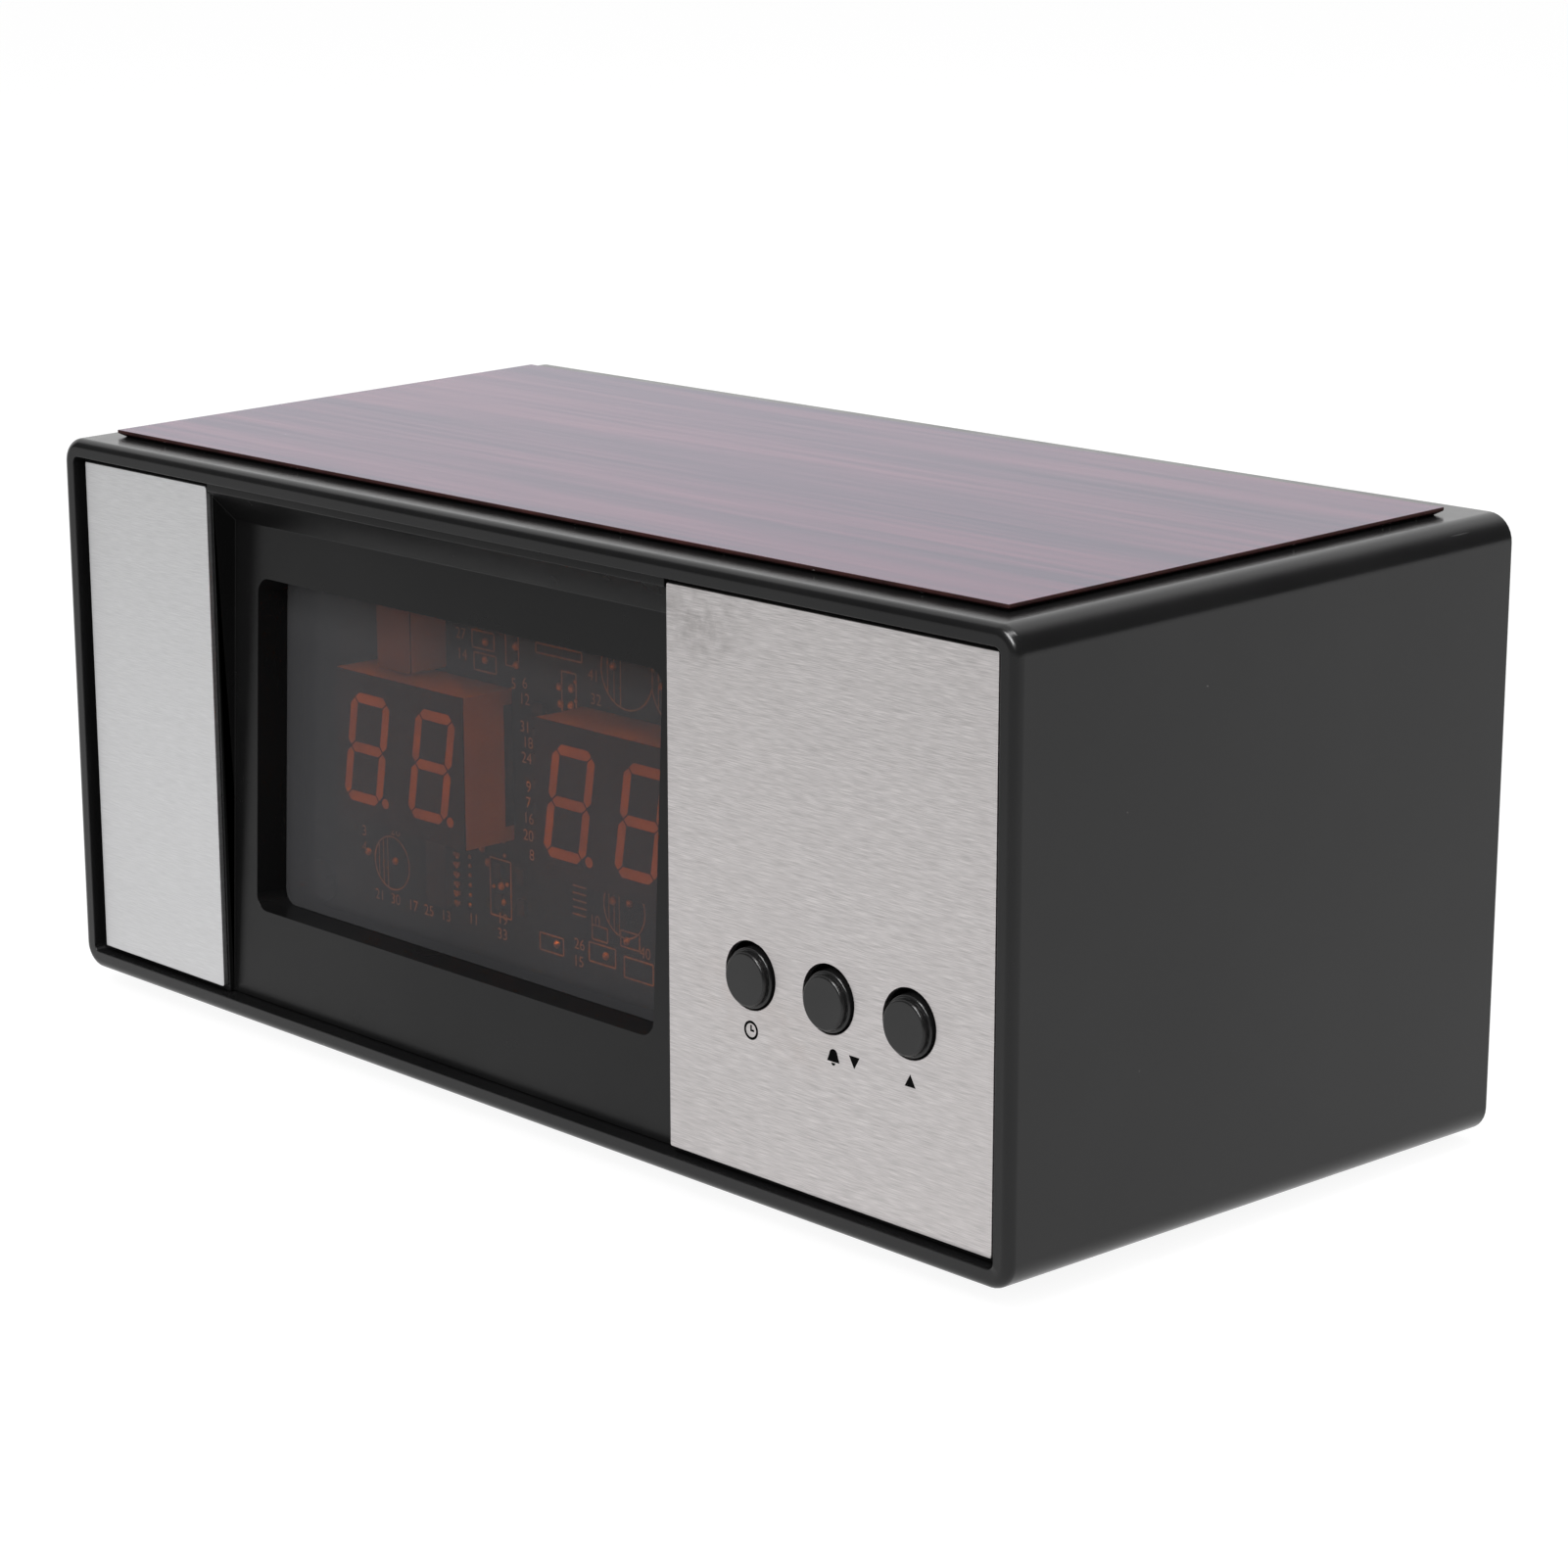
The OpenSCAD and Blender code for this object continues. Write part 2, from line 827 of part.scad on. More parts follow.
module right_digit_segments() {
  color([0.9, 0.5, 0.25])
    module_segments(1);
}

// A place on the main board, measured from its centre
module on_board(at) {
  translate([well_c + at[0], 0, board_z + at[1]])
    children();
}

module driver_chip() {
  color(chip_black)
    on_board([driver_x, driver_z])
      slab(board_y - driver_t, driver_t)
        square([driver_w, driver_h], center = true);
}

// Two rows of flat feet beside a chip, lying on the board
module chip_feet(chip_w, count, y0) {
  for (s = [-1, 1], i = [0:count - 1])
    translate([s * (chip_w + chip_foot_l) / 2, 0, (i - (count - 1) / 2) * chip_pitch])
      slab(y0, chip_foot_t)
        square([chip_foot_l, chip_foot_w], center = true);
}

module driver_chip_legs() {
  color(steel)
    on_board([driver_x, driver_z])
      chip_feet(driver_w, driver_legs, board_y - chip_foot_t);
}

module controller_chip() {
  color(chip_black)
    on_board([0, 0])
      slab(board_back_y, controller_t)
        square([controller_w, controller_h], center = true);
}

module controller_chip_legs() {
  color(steel)
    on_board([0, 0])
      chip_feet(controller_w, controller_legs, board_back_y);
}

module chip_resistors() {
  color(chip_black) {
    for (at = resistor_column)
      on_board(at)
        slab(board_y - resistor_t, resistor_t)
          square([resistor_l, resistor_w], center = true);
    for (at = resistor_group)
      on_board(at)
        slab(board_y - resistor_t, resistor_t)
          square([resistor_w, resistor_l], center = true);
  }
}

module film_capacitor() {
  color(pale_plastic)
    on_board([film_x, film_z])
      slab(board_y - film_t, film_t)
        rounded_rect(film_w, film_h, film_r);
}

module electrolytic(d, h) {
  bar(board_back_y, can_groove_l, d);
  bar(board_back_y + can_groove_l, can_groove_l / 2, d - 2 * can_groove_t);
  bar(board_back_y + 1.5 * can_groove_l, h - 1.5 * can_groove_l, d);
}

module electrolytic_capacitors() {
  color([0.1, 0.12, 0.25]) {
    on_board(large_can_at)
      electrolytic(large_can_d, large_can_h);
    for (at = small_cans_at)
      on_board(at)
        electrolytic(small_can_d, small_can_h);
  }
}

module crystal_can() {
  color(steel)
    on_board(crystal_at)
      slab(board_back_y, crystal_t)
        rounded_rect(crystal_w, crystal_h, crystal_r);
}

module buzzer() {
  color(chip_black)
    on_board(buzzer_at)
      difference() {
        bar(board_back_y, buzzer_h, buzzer_d);
        bar(board_back_y + buzzer_h / 2, buzzer_h, buzzer_hole_d);
      }
}

module coin_cell_holder() {
  color(chip_black)
    on_board(cell_at)
      difference() {
        slab(board_back_y, holder_t)
          rounded_rect(holder_w, holder_h, board_r);
        bar(board_back_y + holder_t - cell_t, cell_t + cut, cell_d + 2 * cell_gap);
      }
}

module coin_cell() {
  color(steel)
    on_board(cell_at)
      bar(board_back_y + holder_t - cell_t, cell_t, cell_d);
}

// A wire header: a box with a rounded mouth, standing on a board
module header(y0) {
  slab(y0, header_t)
    rounded_rect(header_w, header_h, header_r);
}

module button_header() {
  color(pale_plastic)
    translate([ribbon_x2, 0, button_z])
      header(button_board_y + board_t);
}

module ribbon_header() {
  color(pale_plastic)
    translate([ribbon_x1, 0, button_z])
      header(board_back_y);
}

// The flat cable leaves one header, bends across and comes back to the other
module button_ribbon() {
  span = ribbon_x2 - ribbon_x1;
  front = min(ribbon_y1, ribbon_y2);
  deep = ribbon_back - front + 2 * ribbon_r;
  color([0.45, 0.45, 0.47])
    translate([0, 0, button_z - ribbon_w / 2])
      linear_extrude(ribbon_w)
        difference() {
          translate([(ribbon_x1 + ribbon_x2) / 2, ribbon_back - deep / 2])
            difference() {
              rounded_rect(span + ribbon_t, deep, ribbon_r);
              rounded_rect(span - ribbon_t, deep - 2 * ribbon_t, ribbon_r - ribbon_t);
            }
          translate([ribbon_x1 - ribbon_r, ribbon_y1 - deep])
            square([span / 2 + ribbon_r, deep]);
          translate([ribbon_x1 + span / 2, ribbon_y2 - deep])
            square([span / 2 + ribbon_r, deep]);
        }
}

module button_board() {
  color([0.07, 0.16, 0.12])
    difference() {
      slab(button_board_y, board_t)
        translate([button_x0 + button_pitch, button_z])
          rounded_rect(button_board_w, button_board_h, board_r);
      at_button_standoffs()
        hole(button_board_y, board_t, screw_hole_d);
      at_switch_legs()
        hole(button_board_y, board_t, leg_hole_d);
    }
}

module button_board_screws() {
  color(steel)
    at_button_standoffs()
      screw_forward(button_board_y + board_t);
}

module at_switch_legs() {
  for (i = [0:2], sx = [-1, 1], sz = [-1, 1])
    at_button(i)
      translate([sx * leg_x, 0, sz * leg_z])
        children();
}

module switch_legs() {
  color(steel)
    at_switch_legs()
      bar(button_board_y, board_t + leg_tail, leg_d);
}

module switch_bodies() {
  color(chip_black)
    for (i = [0:2])
      at_button(i)
        difference() {
          slab(switch_body_y, button_board_y - switch_body_y)
            square([switch_w, switch_w], center = true);
          bar(switch_body_y - cut, switch_well_l + cut, switch_well_d);
        }
}

module switch_covers() {
  color(steel)
    for (i = [0:2])
      at_button(i)
        difference() {
          slab(switch_y, switch_cover_t)
            square([switch_w, switch_w], center = true);
          hole(switch_y, switch_cover_t, plunger_d + 2 * run_gap);
        }
}

// A thin sprung dish on the floor of each switch
module snap_domes() {
  rim_r = plunger_collar_d / 2;
  floor_y = switch_body_y + switch_well_l;
  color(steel)
    for (i = [0:2])
      at_button(i)
        translate([0, floor_y, 0])
          rotate([90, 0, 0])
            rotate_extrude()
              polygon([
                [0, dome_h - dome_t],
                [rim_r - dome_h, 0],
                [rim_r, 0],
                [rim_r - dome_h, dome_t],
                [0, dome_h]
              ]);
}

module switch_plunger(i) {
  tip_y = hub_back_y - cap_socket_l + plunger_gap;
  collar_y = switch_body_y + run_gap;
  color([0.12, 0.12, 0.12])
    at_button(i) {
      bar(tip_y, collar_y - tip_y, plunger_d);
      bar(collar_y, plunger_collar_t, plunger_collar_d);
    }
}

// Half outline of a cap: a rounded face on a rounded ring, with a flange and a hub behind
module cap_outline() {
  step_r = cap_step_d / 2;
  ring_r = cap_d / 2;
  flange_l = flange_y - cap_front_y;
  square([step_r - cap_step_r, flange_l]);
  translate([0, cap_step_r])
    square([step_r, flange_l - cap_step_r]);
  translate([step_r - cap_step_r, cap_step_r])
    circle(cap_step_r);
  translate([0, cap_step_t])
    square([ring_r - cap_ring_r, flange_l - cap_step_t]);
  translate([0, cap_step_t + cap_ring_r])
    square([ring_r, flange_l - cap_step_t - cap_ring_r]);
  translate([ring_r - cap_ring_r, cap_step_t + cap_ring_r])
    circle(cap_ring_r);
  translate([0, flange_l])
    square([flange_d / 2, flange_t]);
  translate([0, flange_l + flange_t])
    square([hub_d / 2, hub_l]);
}

module button_cap(i) {
  color([0.06, 0.06, 0.065])
    at_button(i)
      difference() {
        translate([0, cap_front_y, 0])
          rotate([-90, 0, 0])
            rotate_extrude()
              cap_outline();
        bar(hub_back_y - cap_socket_l, cap_socket_l + cut, plunger_d + 2 * plunger_gap);
      }
}

module set_switch_plunger() {
  switch_plunger(0);
}

module down_switch_plunger() {
  switch_plunger(1);
}

module up_switch_plunger() {
  switch_plunger(2);
}

module set_button_cap() {
  button_cap(0);
}

module down_button_cap() {
  button_cap(1);
}

module up_button_cap() {
  button_cap(2);
}

module at_socket() {
  translate([-socket_x, 0, socket_z])
    children();
}

module power_socket() {
  color(chip_black)
    at_socket()
      difference() {
        union() {
          bar(cover_back_y, socket_flange_t, socket_flange_d);
          bar(cover_front_y - socket_l, socket_l + cover_t, socket_bush_d);
        }
        bar(cover_back_y + socket_flange_t - socket_bore_l, socket_bore_l + cut, socket_bore_d);
      }
}

module socket_pin() {
  color(steel)
    at_socket()
      bar(cover_back_y + socket_flange_t - socket_bore_l, socket_pin_l, socket_pin_d);
}

module socket_nut() {
  color(steel)
    at_socket()
      difference() {
        translate([0, cover_front_y - socket_nut_t, 0])
          rotate([-90, 0, 0])
            cylinder(d = socket_nut_w, h = socket_nut_t, $fn = 6);
        hole(cover_front_y - socket_nut_t, socket_nut_t, socket_bush_d + 2 * plunger_gap);
      }
}

module socket_terminals() {
  color(steel)
    at_socket()
      for (s = [-1, 1])
        translate([s * terminal_x - terminal_t / 2, cover_front_y - socket_l - terminal_l, -terminal_w / 2])
          cube([terminal_t, terminal_l, terminal_w]);
}

module power_header() {
  color(pale_plastic)
    translate([well_c + power_header_x, 0, board_z])
      header(board_back_y);
}

// Points of a smooth curve from a to b that leaves and arrives along Y
function lead_point(a, b, t) =
  let (pull = (a[1] - b[1]) / 2)
  let (a2 = a - [0, pull, 0], b2 = b + [0, pull, 0])
  pow(1 - t, 3) * a + 3 * pow(1 - t, 2) * t * a2 + 3 * (1 - t) * t * t * b2 + t * t * t * b;

function unit(v) = v / norm(v);

// A round tube through a list of points, with flat ends
module tube(points, d) {
  last = len(points) - 1;
  rings = [
    for (i = [0:last])
      let (along = unit(i == 0 || i == last ? [0, 1, 0] : points[i - 1] - points[i + 1]))
      let (side = unit(cross(along, [0, 0, 1])))
      let (up = cross(side, along))
      for (k = [0:lead_sides - 1])
        let (turn = k * 360 / lead_sides)
        points[i] + d / 2 * (cos(turn) * side + sin(turn) * up)
  ];
  walls = [
    for (i = [0:last - 1], k = [0:lead_sides - 1])
      let (a = i * lead_sides + k, b = i * lead_sides + (k + 1) % lead_sides)
      each [[a, b, a + lead_sides], [b, b + lead_sides, a + lead_sides]]
  ];
  front = [for (k = [1:lead_sides - 2]) [0, k + 1, k]];
  base = last * lead_sides;
  back = [for (k = [1:lead_sides - 2]) [base, base + k, base + k + 1]];
  polyhedron(rings, concat(walls, front, back));
}

module power_leads() {
  start_y = cover_front_y - socket_l - terminal_l;
  end_y = board_back_y + header_t;
  color([0.5, 0.08, 0.06])
    for (s = [-1, 1]) {
      a = [s * terminal_x - socket_x, start_y, socket_z];
      b = [well_c + power_header_x, end_y, board_z + s * lead_gap / 2];
      tube([for (i = [0:lead_steps]) lead_point(a, b, i / lead_steps)], lead_d);
    }
}

case_shell();
front_bezel();
left_trim_plate();
right_trim_plate();
display_window();
top_board();
top_veneer();
back_cover();
rubber_feet();
back_cover_screws();
bezel_screws();
main_board();
main_board_screws();
left_digit_housing();
right_digit_housing();
left_digit_segments();
right_digit_segments();
digit_pins();
driver_chip();
driver_chip_legs();
controller_chip();
controller_chip_legs();
chip_resistors();
film_capacitor();
electrolytic_capacitors();
crystal_can();
buzzer();
coin_cell_holder();
coin_cell();
button_header();
ribbon_header();
button_ribbon();
button_board();
button_board_screws();
switch_bodies();
switch_covers();
switch_legs();
snap_domes();
set_switch_plunger();
down_switch_plunger();
up_switch_plunger();
set_button_cap();
down_button_cap();
up_button_cap();
power_socket();
socket_pin();
socket_nut();
socket_terminals();
power_header();
power_leads();
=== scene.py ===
import math

import bmesh
import bpy
from mathutils import Matrix, Vector


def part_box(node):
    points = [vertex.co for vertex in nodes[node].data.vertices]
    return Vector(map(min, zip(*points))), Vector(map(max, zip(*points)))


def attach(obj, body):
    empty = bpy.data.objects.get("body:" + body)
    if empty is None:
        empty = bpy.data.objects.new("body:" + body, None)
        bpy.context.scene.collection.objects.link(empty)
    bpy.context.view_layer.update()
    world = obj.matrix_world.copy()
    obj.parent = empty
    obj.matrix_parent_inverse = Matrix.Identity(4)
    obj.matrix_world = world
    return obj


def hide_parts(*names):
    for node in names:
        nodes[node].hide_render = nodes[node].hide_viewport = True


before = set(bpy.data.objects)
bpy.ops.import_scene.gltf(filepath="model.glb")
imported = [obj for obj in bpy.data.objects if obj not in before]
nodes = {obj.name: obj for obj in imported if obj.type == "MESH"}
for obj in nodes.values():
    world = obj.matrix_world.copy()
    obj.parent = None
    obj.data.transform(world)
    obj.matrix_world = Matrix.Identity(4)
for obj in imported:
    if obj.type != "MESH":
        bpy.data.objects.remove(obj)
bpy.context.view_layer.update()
mm = 0.001
print("frame loaded:", len(nodes), "nodes")


# node helpers

noiseSpan = (0.3, 0.7)  # most of a noise falls in here


def setInput(tree, socket, value):
    if isinstance(value, bpy.types.NodeSocket):
        tree.links.new(value, socket)
    else:
        socket.default_value = value


def setInputs(tree, node, values):
    for name, value in values.items():
        setInput(tree, node.inputs[name], value)


def addNode(tree, kind, values=None, **settings):
    node = tree.nodes.new(kind)
    for name, value in settings.items():
        setattr(node, name, value)
    setInputs(tree, node, values or {})
    return node


def newMaterial(name):
    material = bpy.data.materials.new(name)
    material.use_nodes = True
    tree = material.node_tree
    tree.nodes.clear()
    shader = addNode(tree, "ShaderNodeBsdfPrincipled")
    addNode(tree, "ShaderNodeOutputMaterial", {"Surface": shader.outputs["BSDF"]})
    return material, tree, shader


def blendSurface(tree, amount, first, second):
    # two shaders mixed on the material's output
    blend = addNode(tree, "ShaderNodeMixShader", {0: amount, 1: first, 2: second})
    output = next(n for n in tree.nodes if n.type == "OUTPUT_MATERIAL")
    setInput(tree, output.inputs["Surface"], blend.outputs["Shader"])


def coords(tree, scale=(1, 1, 1), shift=(0, 0, 0)):
    place = addNode(tree, "ShaderNodeTexCoord").outputs["Object"]
    values = {"Vector": place, "Scale": scale, "Location": shift}
    return addNode(tree, "ShaderNodeMapping", values).outputs["Vector"]


def axes(tree):
    return addNode(tree, "ShaderNodeSeparateXYZ", {"Vector": coords(tree)}).outputs


def farFrom(tree, at, shrink):
    # distance from one place, each axis in its own measure
    place = coords(tree, shrink, tuple(-a * s for a, s in zip(at, shrink)))
    return addNode(tree, "ShaderNodeVectorMath", {0: place}, operation="LENGTH").outputs["Value"]


def noise(tree, vector, scale, detail=3.0, rough=0.55):
    values = {"Vector": vector, "Scale": scale, "Detail": detail, "Roughness": rough}
    return addNode(tree, "ShaderNodeTexNoise", values).outputs[0]


def mapRange(tree, value, low, high, toLow=0.0, toHigh=1.0):
    values = {"Value": value, "From Min": low, "From Max": high, "To Min": toLow, "To Max": toHigh}
    return addNode(tree, "ShaderNodeMapRange", values).outputs[0]


def around(middle, half):
    return middle - half, middle + half


def compute(tree, operation, first, second=0.0):
    return addNode(tree, "ShaderNodeMath", {0: first, 1: second}, operation=operation).outputs[0]


def weighted(tree, first, firstShare, second, secondShare):
    one = compute(tree, "MULTIPLY", first, firstShare)
    two = compute(tree, "MULTIPLY", second, secondShare)
    return compute(tree, "ADD", one, two)


def mixColour(tree, amount, first, second, mode="MIX"):
    node = addNode(tree, "ShaderNodeMix", data_type="RGBA", blend_type=mode)
    for index, value in ((0, amount), (6, first), (7, second)):
        if isinstance(value, tuple) and len(value) == 3:
            value = (*value, 1)
        setInput(tree, node.inputs[index], value)
    return node.outputs[2]


def ramp(tree, value, stops):
    node = addNode(tree, "ShaderNodeValToRGB", {"Fac": value})
    marks = node.color_ramp.elements
    for index, (place, colour) in enumerate(stops):
        mark = marks[index] if index < 2 else marks.new(place)
        mark.position = place
        mark.color = (*colour, 1)
    return node.outputs["Color"]


def bump(tree, height, strength, relief):
    values = {"Height": height, "Strength": strength, "Distance": relief * mm}
    return addNode(tree, "ShaderNodeBump", values).outputs["Normal"]


def specks(tree, scale, size, share):
    # rare small dots: one per cell, kept where the cell's own colour is high
    cell = addNode(tree, "ShaderNodeTexVoronoi", {"Vector": coords(tree), "Scale": scale})
    near = compute(tree, "LESS_THAN", cell.outputs["Distance"], size)
    parts = addNode(tree, "ShaderNodeSeparateColor", {"Color": cell.outputs["Color"]})
    kept = compute(tree, "GREATER_THAN", parts.outputs[0], 1 - share)
    return compute(tree, "MULTIPLY", near, kept)


# black plastic of the case, the front and the buttons

plasticSet = {
    "cloud": 45, "gloss": 160, "glossHalf": 0.03, "relief": 0.04, "scratchTone": (0.22, 0.22, 0.22),
    "dustScale": 190, "dustShare": 0.12, "dustTone": (0.32, 0.31, 0.3),
}
caseFinish = {
    "dark": (0.0062, 0.0062, 0.0064), "light": (0.0088, 0.0088, 0.009), "rough": 0.23, "grain": 3200,
    "bump": 0.08, "dust": 0.011, "shine": 0.29,
    "scratches": [  # each fades out over its outer half
        {"at": (0.0842, 0.0310, 0.0738), "long": 0.0030, "thick": 0.00014, "strength": 0.26},
        {"at": (0.0839, 0.0335, 0.0743), "long": 0.0020, "thick": 0.00011, "strength": 0.22},
    ],
}
bezelFinish = {
    "dark": (0.005, 0.005, 0.0051), "light": (0.0072, 0.0072, 0.0073), "rough": 0.25, "grain": 3600,
    "bump": 0.07, "dust": 0.009, "shine": 0.18,
}
buttonFinish = {
    "dark": (0.009, 0.009, 0.009), "light": (0.013, 0.013, 0.013), "rough": 0.22, "grain": 4200,
    "bump": 0.05, "dust": 0.01, "shine": 0.33,
}


def scratch(tree, mark):
    # a thin short line round one place, along Y
    far = farFrom(tree, mark["at"], (1 / mark["thick"], 1 / mark["long"], 1 / mark["thick"]))
    return mapRange(tree, far, 0.5, 1.0, mark["strength"], 0)


def mouldedPlastic(name, finish):
    material, tree, shader = newMaterial(name)
    place = coords(tree)
    cloud = mapRange(tree, noise(tree, place, plasticSet["cloud"]), *noiseSpan)
    grain = noise(tree, place, finish["grain"], detail=2, rough=0.6)
    dust = specks(tree, plasticSet["dustScale"], finish["dust"], plasticSet["dustShare"])
    tone = mixColour(tree, cloud, finish["dark"], finish["light"])
    tone = mixColour(tree, dust, tone, plasticSet["dustTone"])
    for mark in finish.get("scratches", []):
        tone = mixColour(tree, scratch(tree, mark), tone, plasticSet["scratchTone"])
    gloss = noise(tree, place, plasticSet["gloss"], detail=4)
    setInputs(tree, shader, {
        "Base Color": tone,
        "Roughness": mapRange(tree, gloss, *noiseSpan, *around(finish["rough"], plasticSet["glossHalf"])),
        "Normal": bump(tree, grain, finish["bump"], plasticSet["relief"]),
        "Specular IOR Level": finish["shine"],
    })
    return material


casePlastic = mouldedPlastic("casePlastic", caseFinish)
bezelPlastic = mouldedPlastic("bezelPlastic", bezelFinish)
buttonPlastic = mouldedPlastic("buttonPlastic", buttonFinish)


# brushed metal of the trim plates

brushSet = {
    "hair": (400, 400, 10500), "hairShare": 0.85, "band": (90, 90, 2600), "bandShare": 0.15,
    "lineSpan": (0.32, 0.68), "cloud": 38, "warmSpan": (0.5, 0.8), "warmShare": 0.3,
    "rough": 0.34, "roughHalf": 0.03, "roughSpan": (0.35, 0.65), "bump": 0.05, "relief": 0.02,
    "bottomShadeLow": 0.012, "bottomShadeHigh": 0.068, "bottomShadeTone": (0.81, 0.81, 0.81), "patch": 420, "patchSpan": (0.35, 0.65),
}
leftPlateFinish = {
    "dark": (0.624, 0.624, 0.63), "light": (0.752, 0.752, 0.759), "warm": (0.68, 0.674, 0.667), "smudges": [],
}
rightPlateFinish = {
    "dark": (0.478, 0.456, 0.453), "light": (0.740, 0.706, 0.702), "warm": (0.596, 0.563, 0.555),
    "smudges": [
        {"at": (0.0355, 0.0672), "wide": 0.0095, "high": 0.0055, "strength": 1.0, "colour": (0.58, 0.575, 0.57)},
        {"at": (0.0420, 0.0268), "wide": 0.010, "high": 0.008, "strength": 0.35, "colour": (0.88, 0.82, 0.78)},
        {"at": (0.0520, 0.0228), "wide": 0.008, "high": 0.006, "strength": 0.35, "colour": (0.88, 0.82, 0.78)},
    ],
}


def smudge(tree, tone, spot):
    # a soft stain round one place, broken up by noise
    x, z = spot["at"]
    far = farFrom(tree, (x, 0, z), (1 / spot["wide"], 0, 1 / spot["high"]))
    patch = noise(tree, coords(tree), brushSet["patch"], detail=4, rough=0.6)
    near = mapRange(tree, far, 0.0, 1.0, 1, 0)
    amount = compute(tree, "MULTIPLY", near, mapRange(tree, patch, *brushSet["patchSpan"]))
    amount = compute(tree, "MULTIPLY", amount, spot["strength"])
    return mixColour(tree, amount, tone, spot["colour"], "MULTIPLY")


def brushedMetal(name, finish):
    material, tree, shader = newMaterial(name)
    hair = noise(tree, coords(tree, brushSet["hair"]), 1, detail=2, rough=0.5)
    band = noise(tree, coords(tree, brushSet["band"]), 1, rough=0.6)
    cloud = noise(tree, coords(tree), brushSet["cloud"])
    line = weighted(tree, hair, brushSet["hairShare"], band, brushSet["bandShare"])
    tone = mixColour(tree, mapRange(tree, line, *brushSet["lineSpan"]), finish["dark"], finish["light"])
    warm = mapRange(tree, cloud, *brushSet["warmSpan"], 0, brushSet["warmShare"])
    tone = mixColour(tree, warm, tone, finish["warm"])
    for spot in finish["smudges"]:
        tone = smudge(tree, tone, spot)
    # painted shade: a little darker towards the bottom
    bottomShade = mapRange(tree, axes(tree)["Z"], brushSet["bottomShadeLow"], brushSet["bottomShadeHigh"], 1, 0)
    tone = mixColour(tree, bottomShade, tone, brushSet["bottomShadeTone"], "MULTIPLY")
    rough = around(brushSet["rough"], brushSet["roughHalf"])
    setInputs(tree, shader, {
        "Base Color": tone,
        "Metallic": 1,
        "Roughness": mapRange(tree, line, *brushSet["roughSpan"], *rough),
        "Normal": bump(tree, line, brushSet["bump"], brushSet["relief"]),
    })
    return material


leftMetal = brushedMetal("leftMetal", leftPlateFinish)
rightMetal = brushedMetal("rightMetal", rightPlateFinish)


# wood grain of the top sheet

veneerFinish = {
    "tones": [(0.36, (0.008, 0.009, 0.009)), (0.64, (0.094, 0.021, 0.028)), (0.46, (0.025, 0.010, 0.012)),
              (0.54, (0.058, 0.013, 0.019))],
    "wander": (9, 30, 30), "drift": 0.35, "broad": (6, 150, 150), "broadShare": 0.5, "fine": (20, 800, 800),
    "fineShare": 0.5,
    "pore": (60, 3600, 3600), "poreSpan": (0.6, 0.7), "poreShare": 0.55, "poreTone": (0.010, 0.009, 0.009),
    "dustScale": 170, "dustSize": 0.018, "dustShare": 0.1, "dustTone": (0.4, 0.38, 0.38),
    "rough": 0.25, "roughHalf": 0.015, "roughSpan": (0.35, 0.65), "bump": 0.12, "relief": 0.03, "shine": 0.39,
    "bloom": (0.35, 0.04, 1.0), "bloomWeight": 0.084, "bloomRough": 0.5,
}


def rosewood(name, finish):
    material, tree, shader = newMaterial(name)
    wander = noise(tree, coords(tree, finish["wander"]), 1, detail=2)
    sway = mapRange(tree, wander, 0, 1, *around(0, finish["drift"]))
    drift = addNode(tree, "ShaderNodeCombineXYZ", {"Y": sway}).outputs[0]

    def streaks(scale, detail):
        place = addNode(tree, "ShaderNodeVectorMath", {0: coords(tree, scale), 1: drift}, operation="ADD")
        return noise(tree, place.outputs[0], 1, detail, rough=0.6)

    broad = streaks(finish["broad"], 3)
    fine = streaks(finish["fine"], 4)
    pore = streaks(finish["pore"], 2)
    line = weighted(tree, broad, finish["broadShare"], fine, finish["fineShare"])
    tone = ramp(tree, line, finish["tones"])
    dark = mapRange(tree, pore, *finish["poreSpan"], 0, finish["poreShare"])
    tone = mixColour(tree, dark, tone, finish["poreTone"])
    dust = specks(tree, finish["dustScale"], finish["dustSize"], finish["dustShare"])
    # dark lines are the rougher ones, so the range runs downwards
    rough = around(finish["rough"], -finish["roughHalf"])
    setInputs(tree, shader, {
        "Base Color": mixColour(tree, dust, tone, finish["dustTone"]),
        "Roughness": mapRange(tree, line, *finish["roughSpan"], *rough),
        "Normal": bump(tree, compute(tree, "ADD", fine, pore), finish["bump"], finish["relief"]),
        "Specular IOR Level": finish["shine"],
        # the film on the wood looks purple at flat angles
        "Sheen Weight": finish["bloomWeight"],
        "Sheen Roughness": finish["bloomRough"],
        "Sheen Tint": (*finish["bloom"], 1),
    })
    return material


veneer = rosewood("veneer", veneerFinish)


# smoked sheet of the window, and a grey film on it as painted reflection

sheetFinish = {"tint": (0.40, 0.165, 0.06), "rough": 0.03, "bend": 1.04, "coat": 0.08, "coatRough": 0.08, "cloud": 60}
# painted reflection: a lit grey film stands in for the room reflected in the window
reflectionFilmFinish = {
    "dark": (0.485, 0.485, 0.505), "light": (0.545, 0.545, 0.575), "rough": 0.6, "alpha": 0.045, "cloud": 35,
    "shadeX": (-0.035, -0.016), "shadeShare": 0.16, "litZ": (0.05, 0.058), "litShare": 0.25,
}


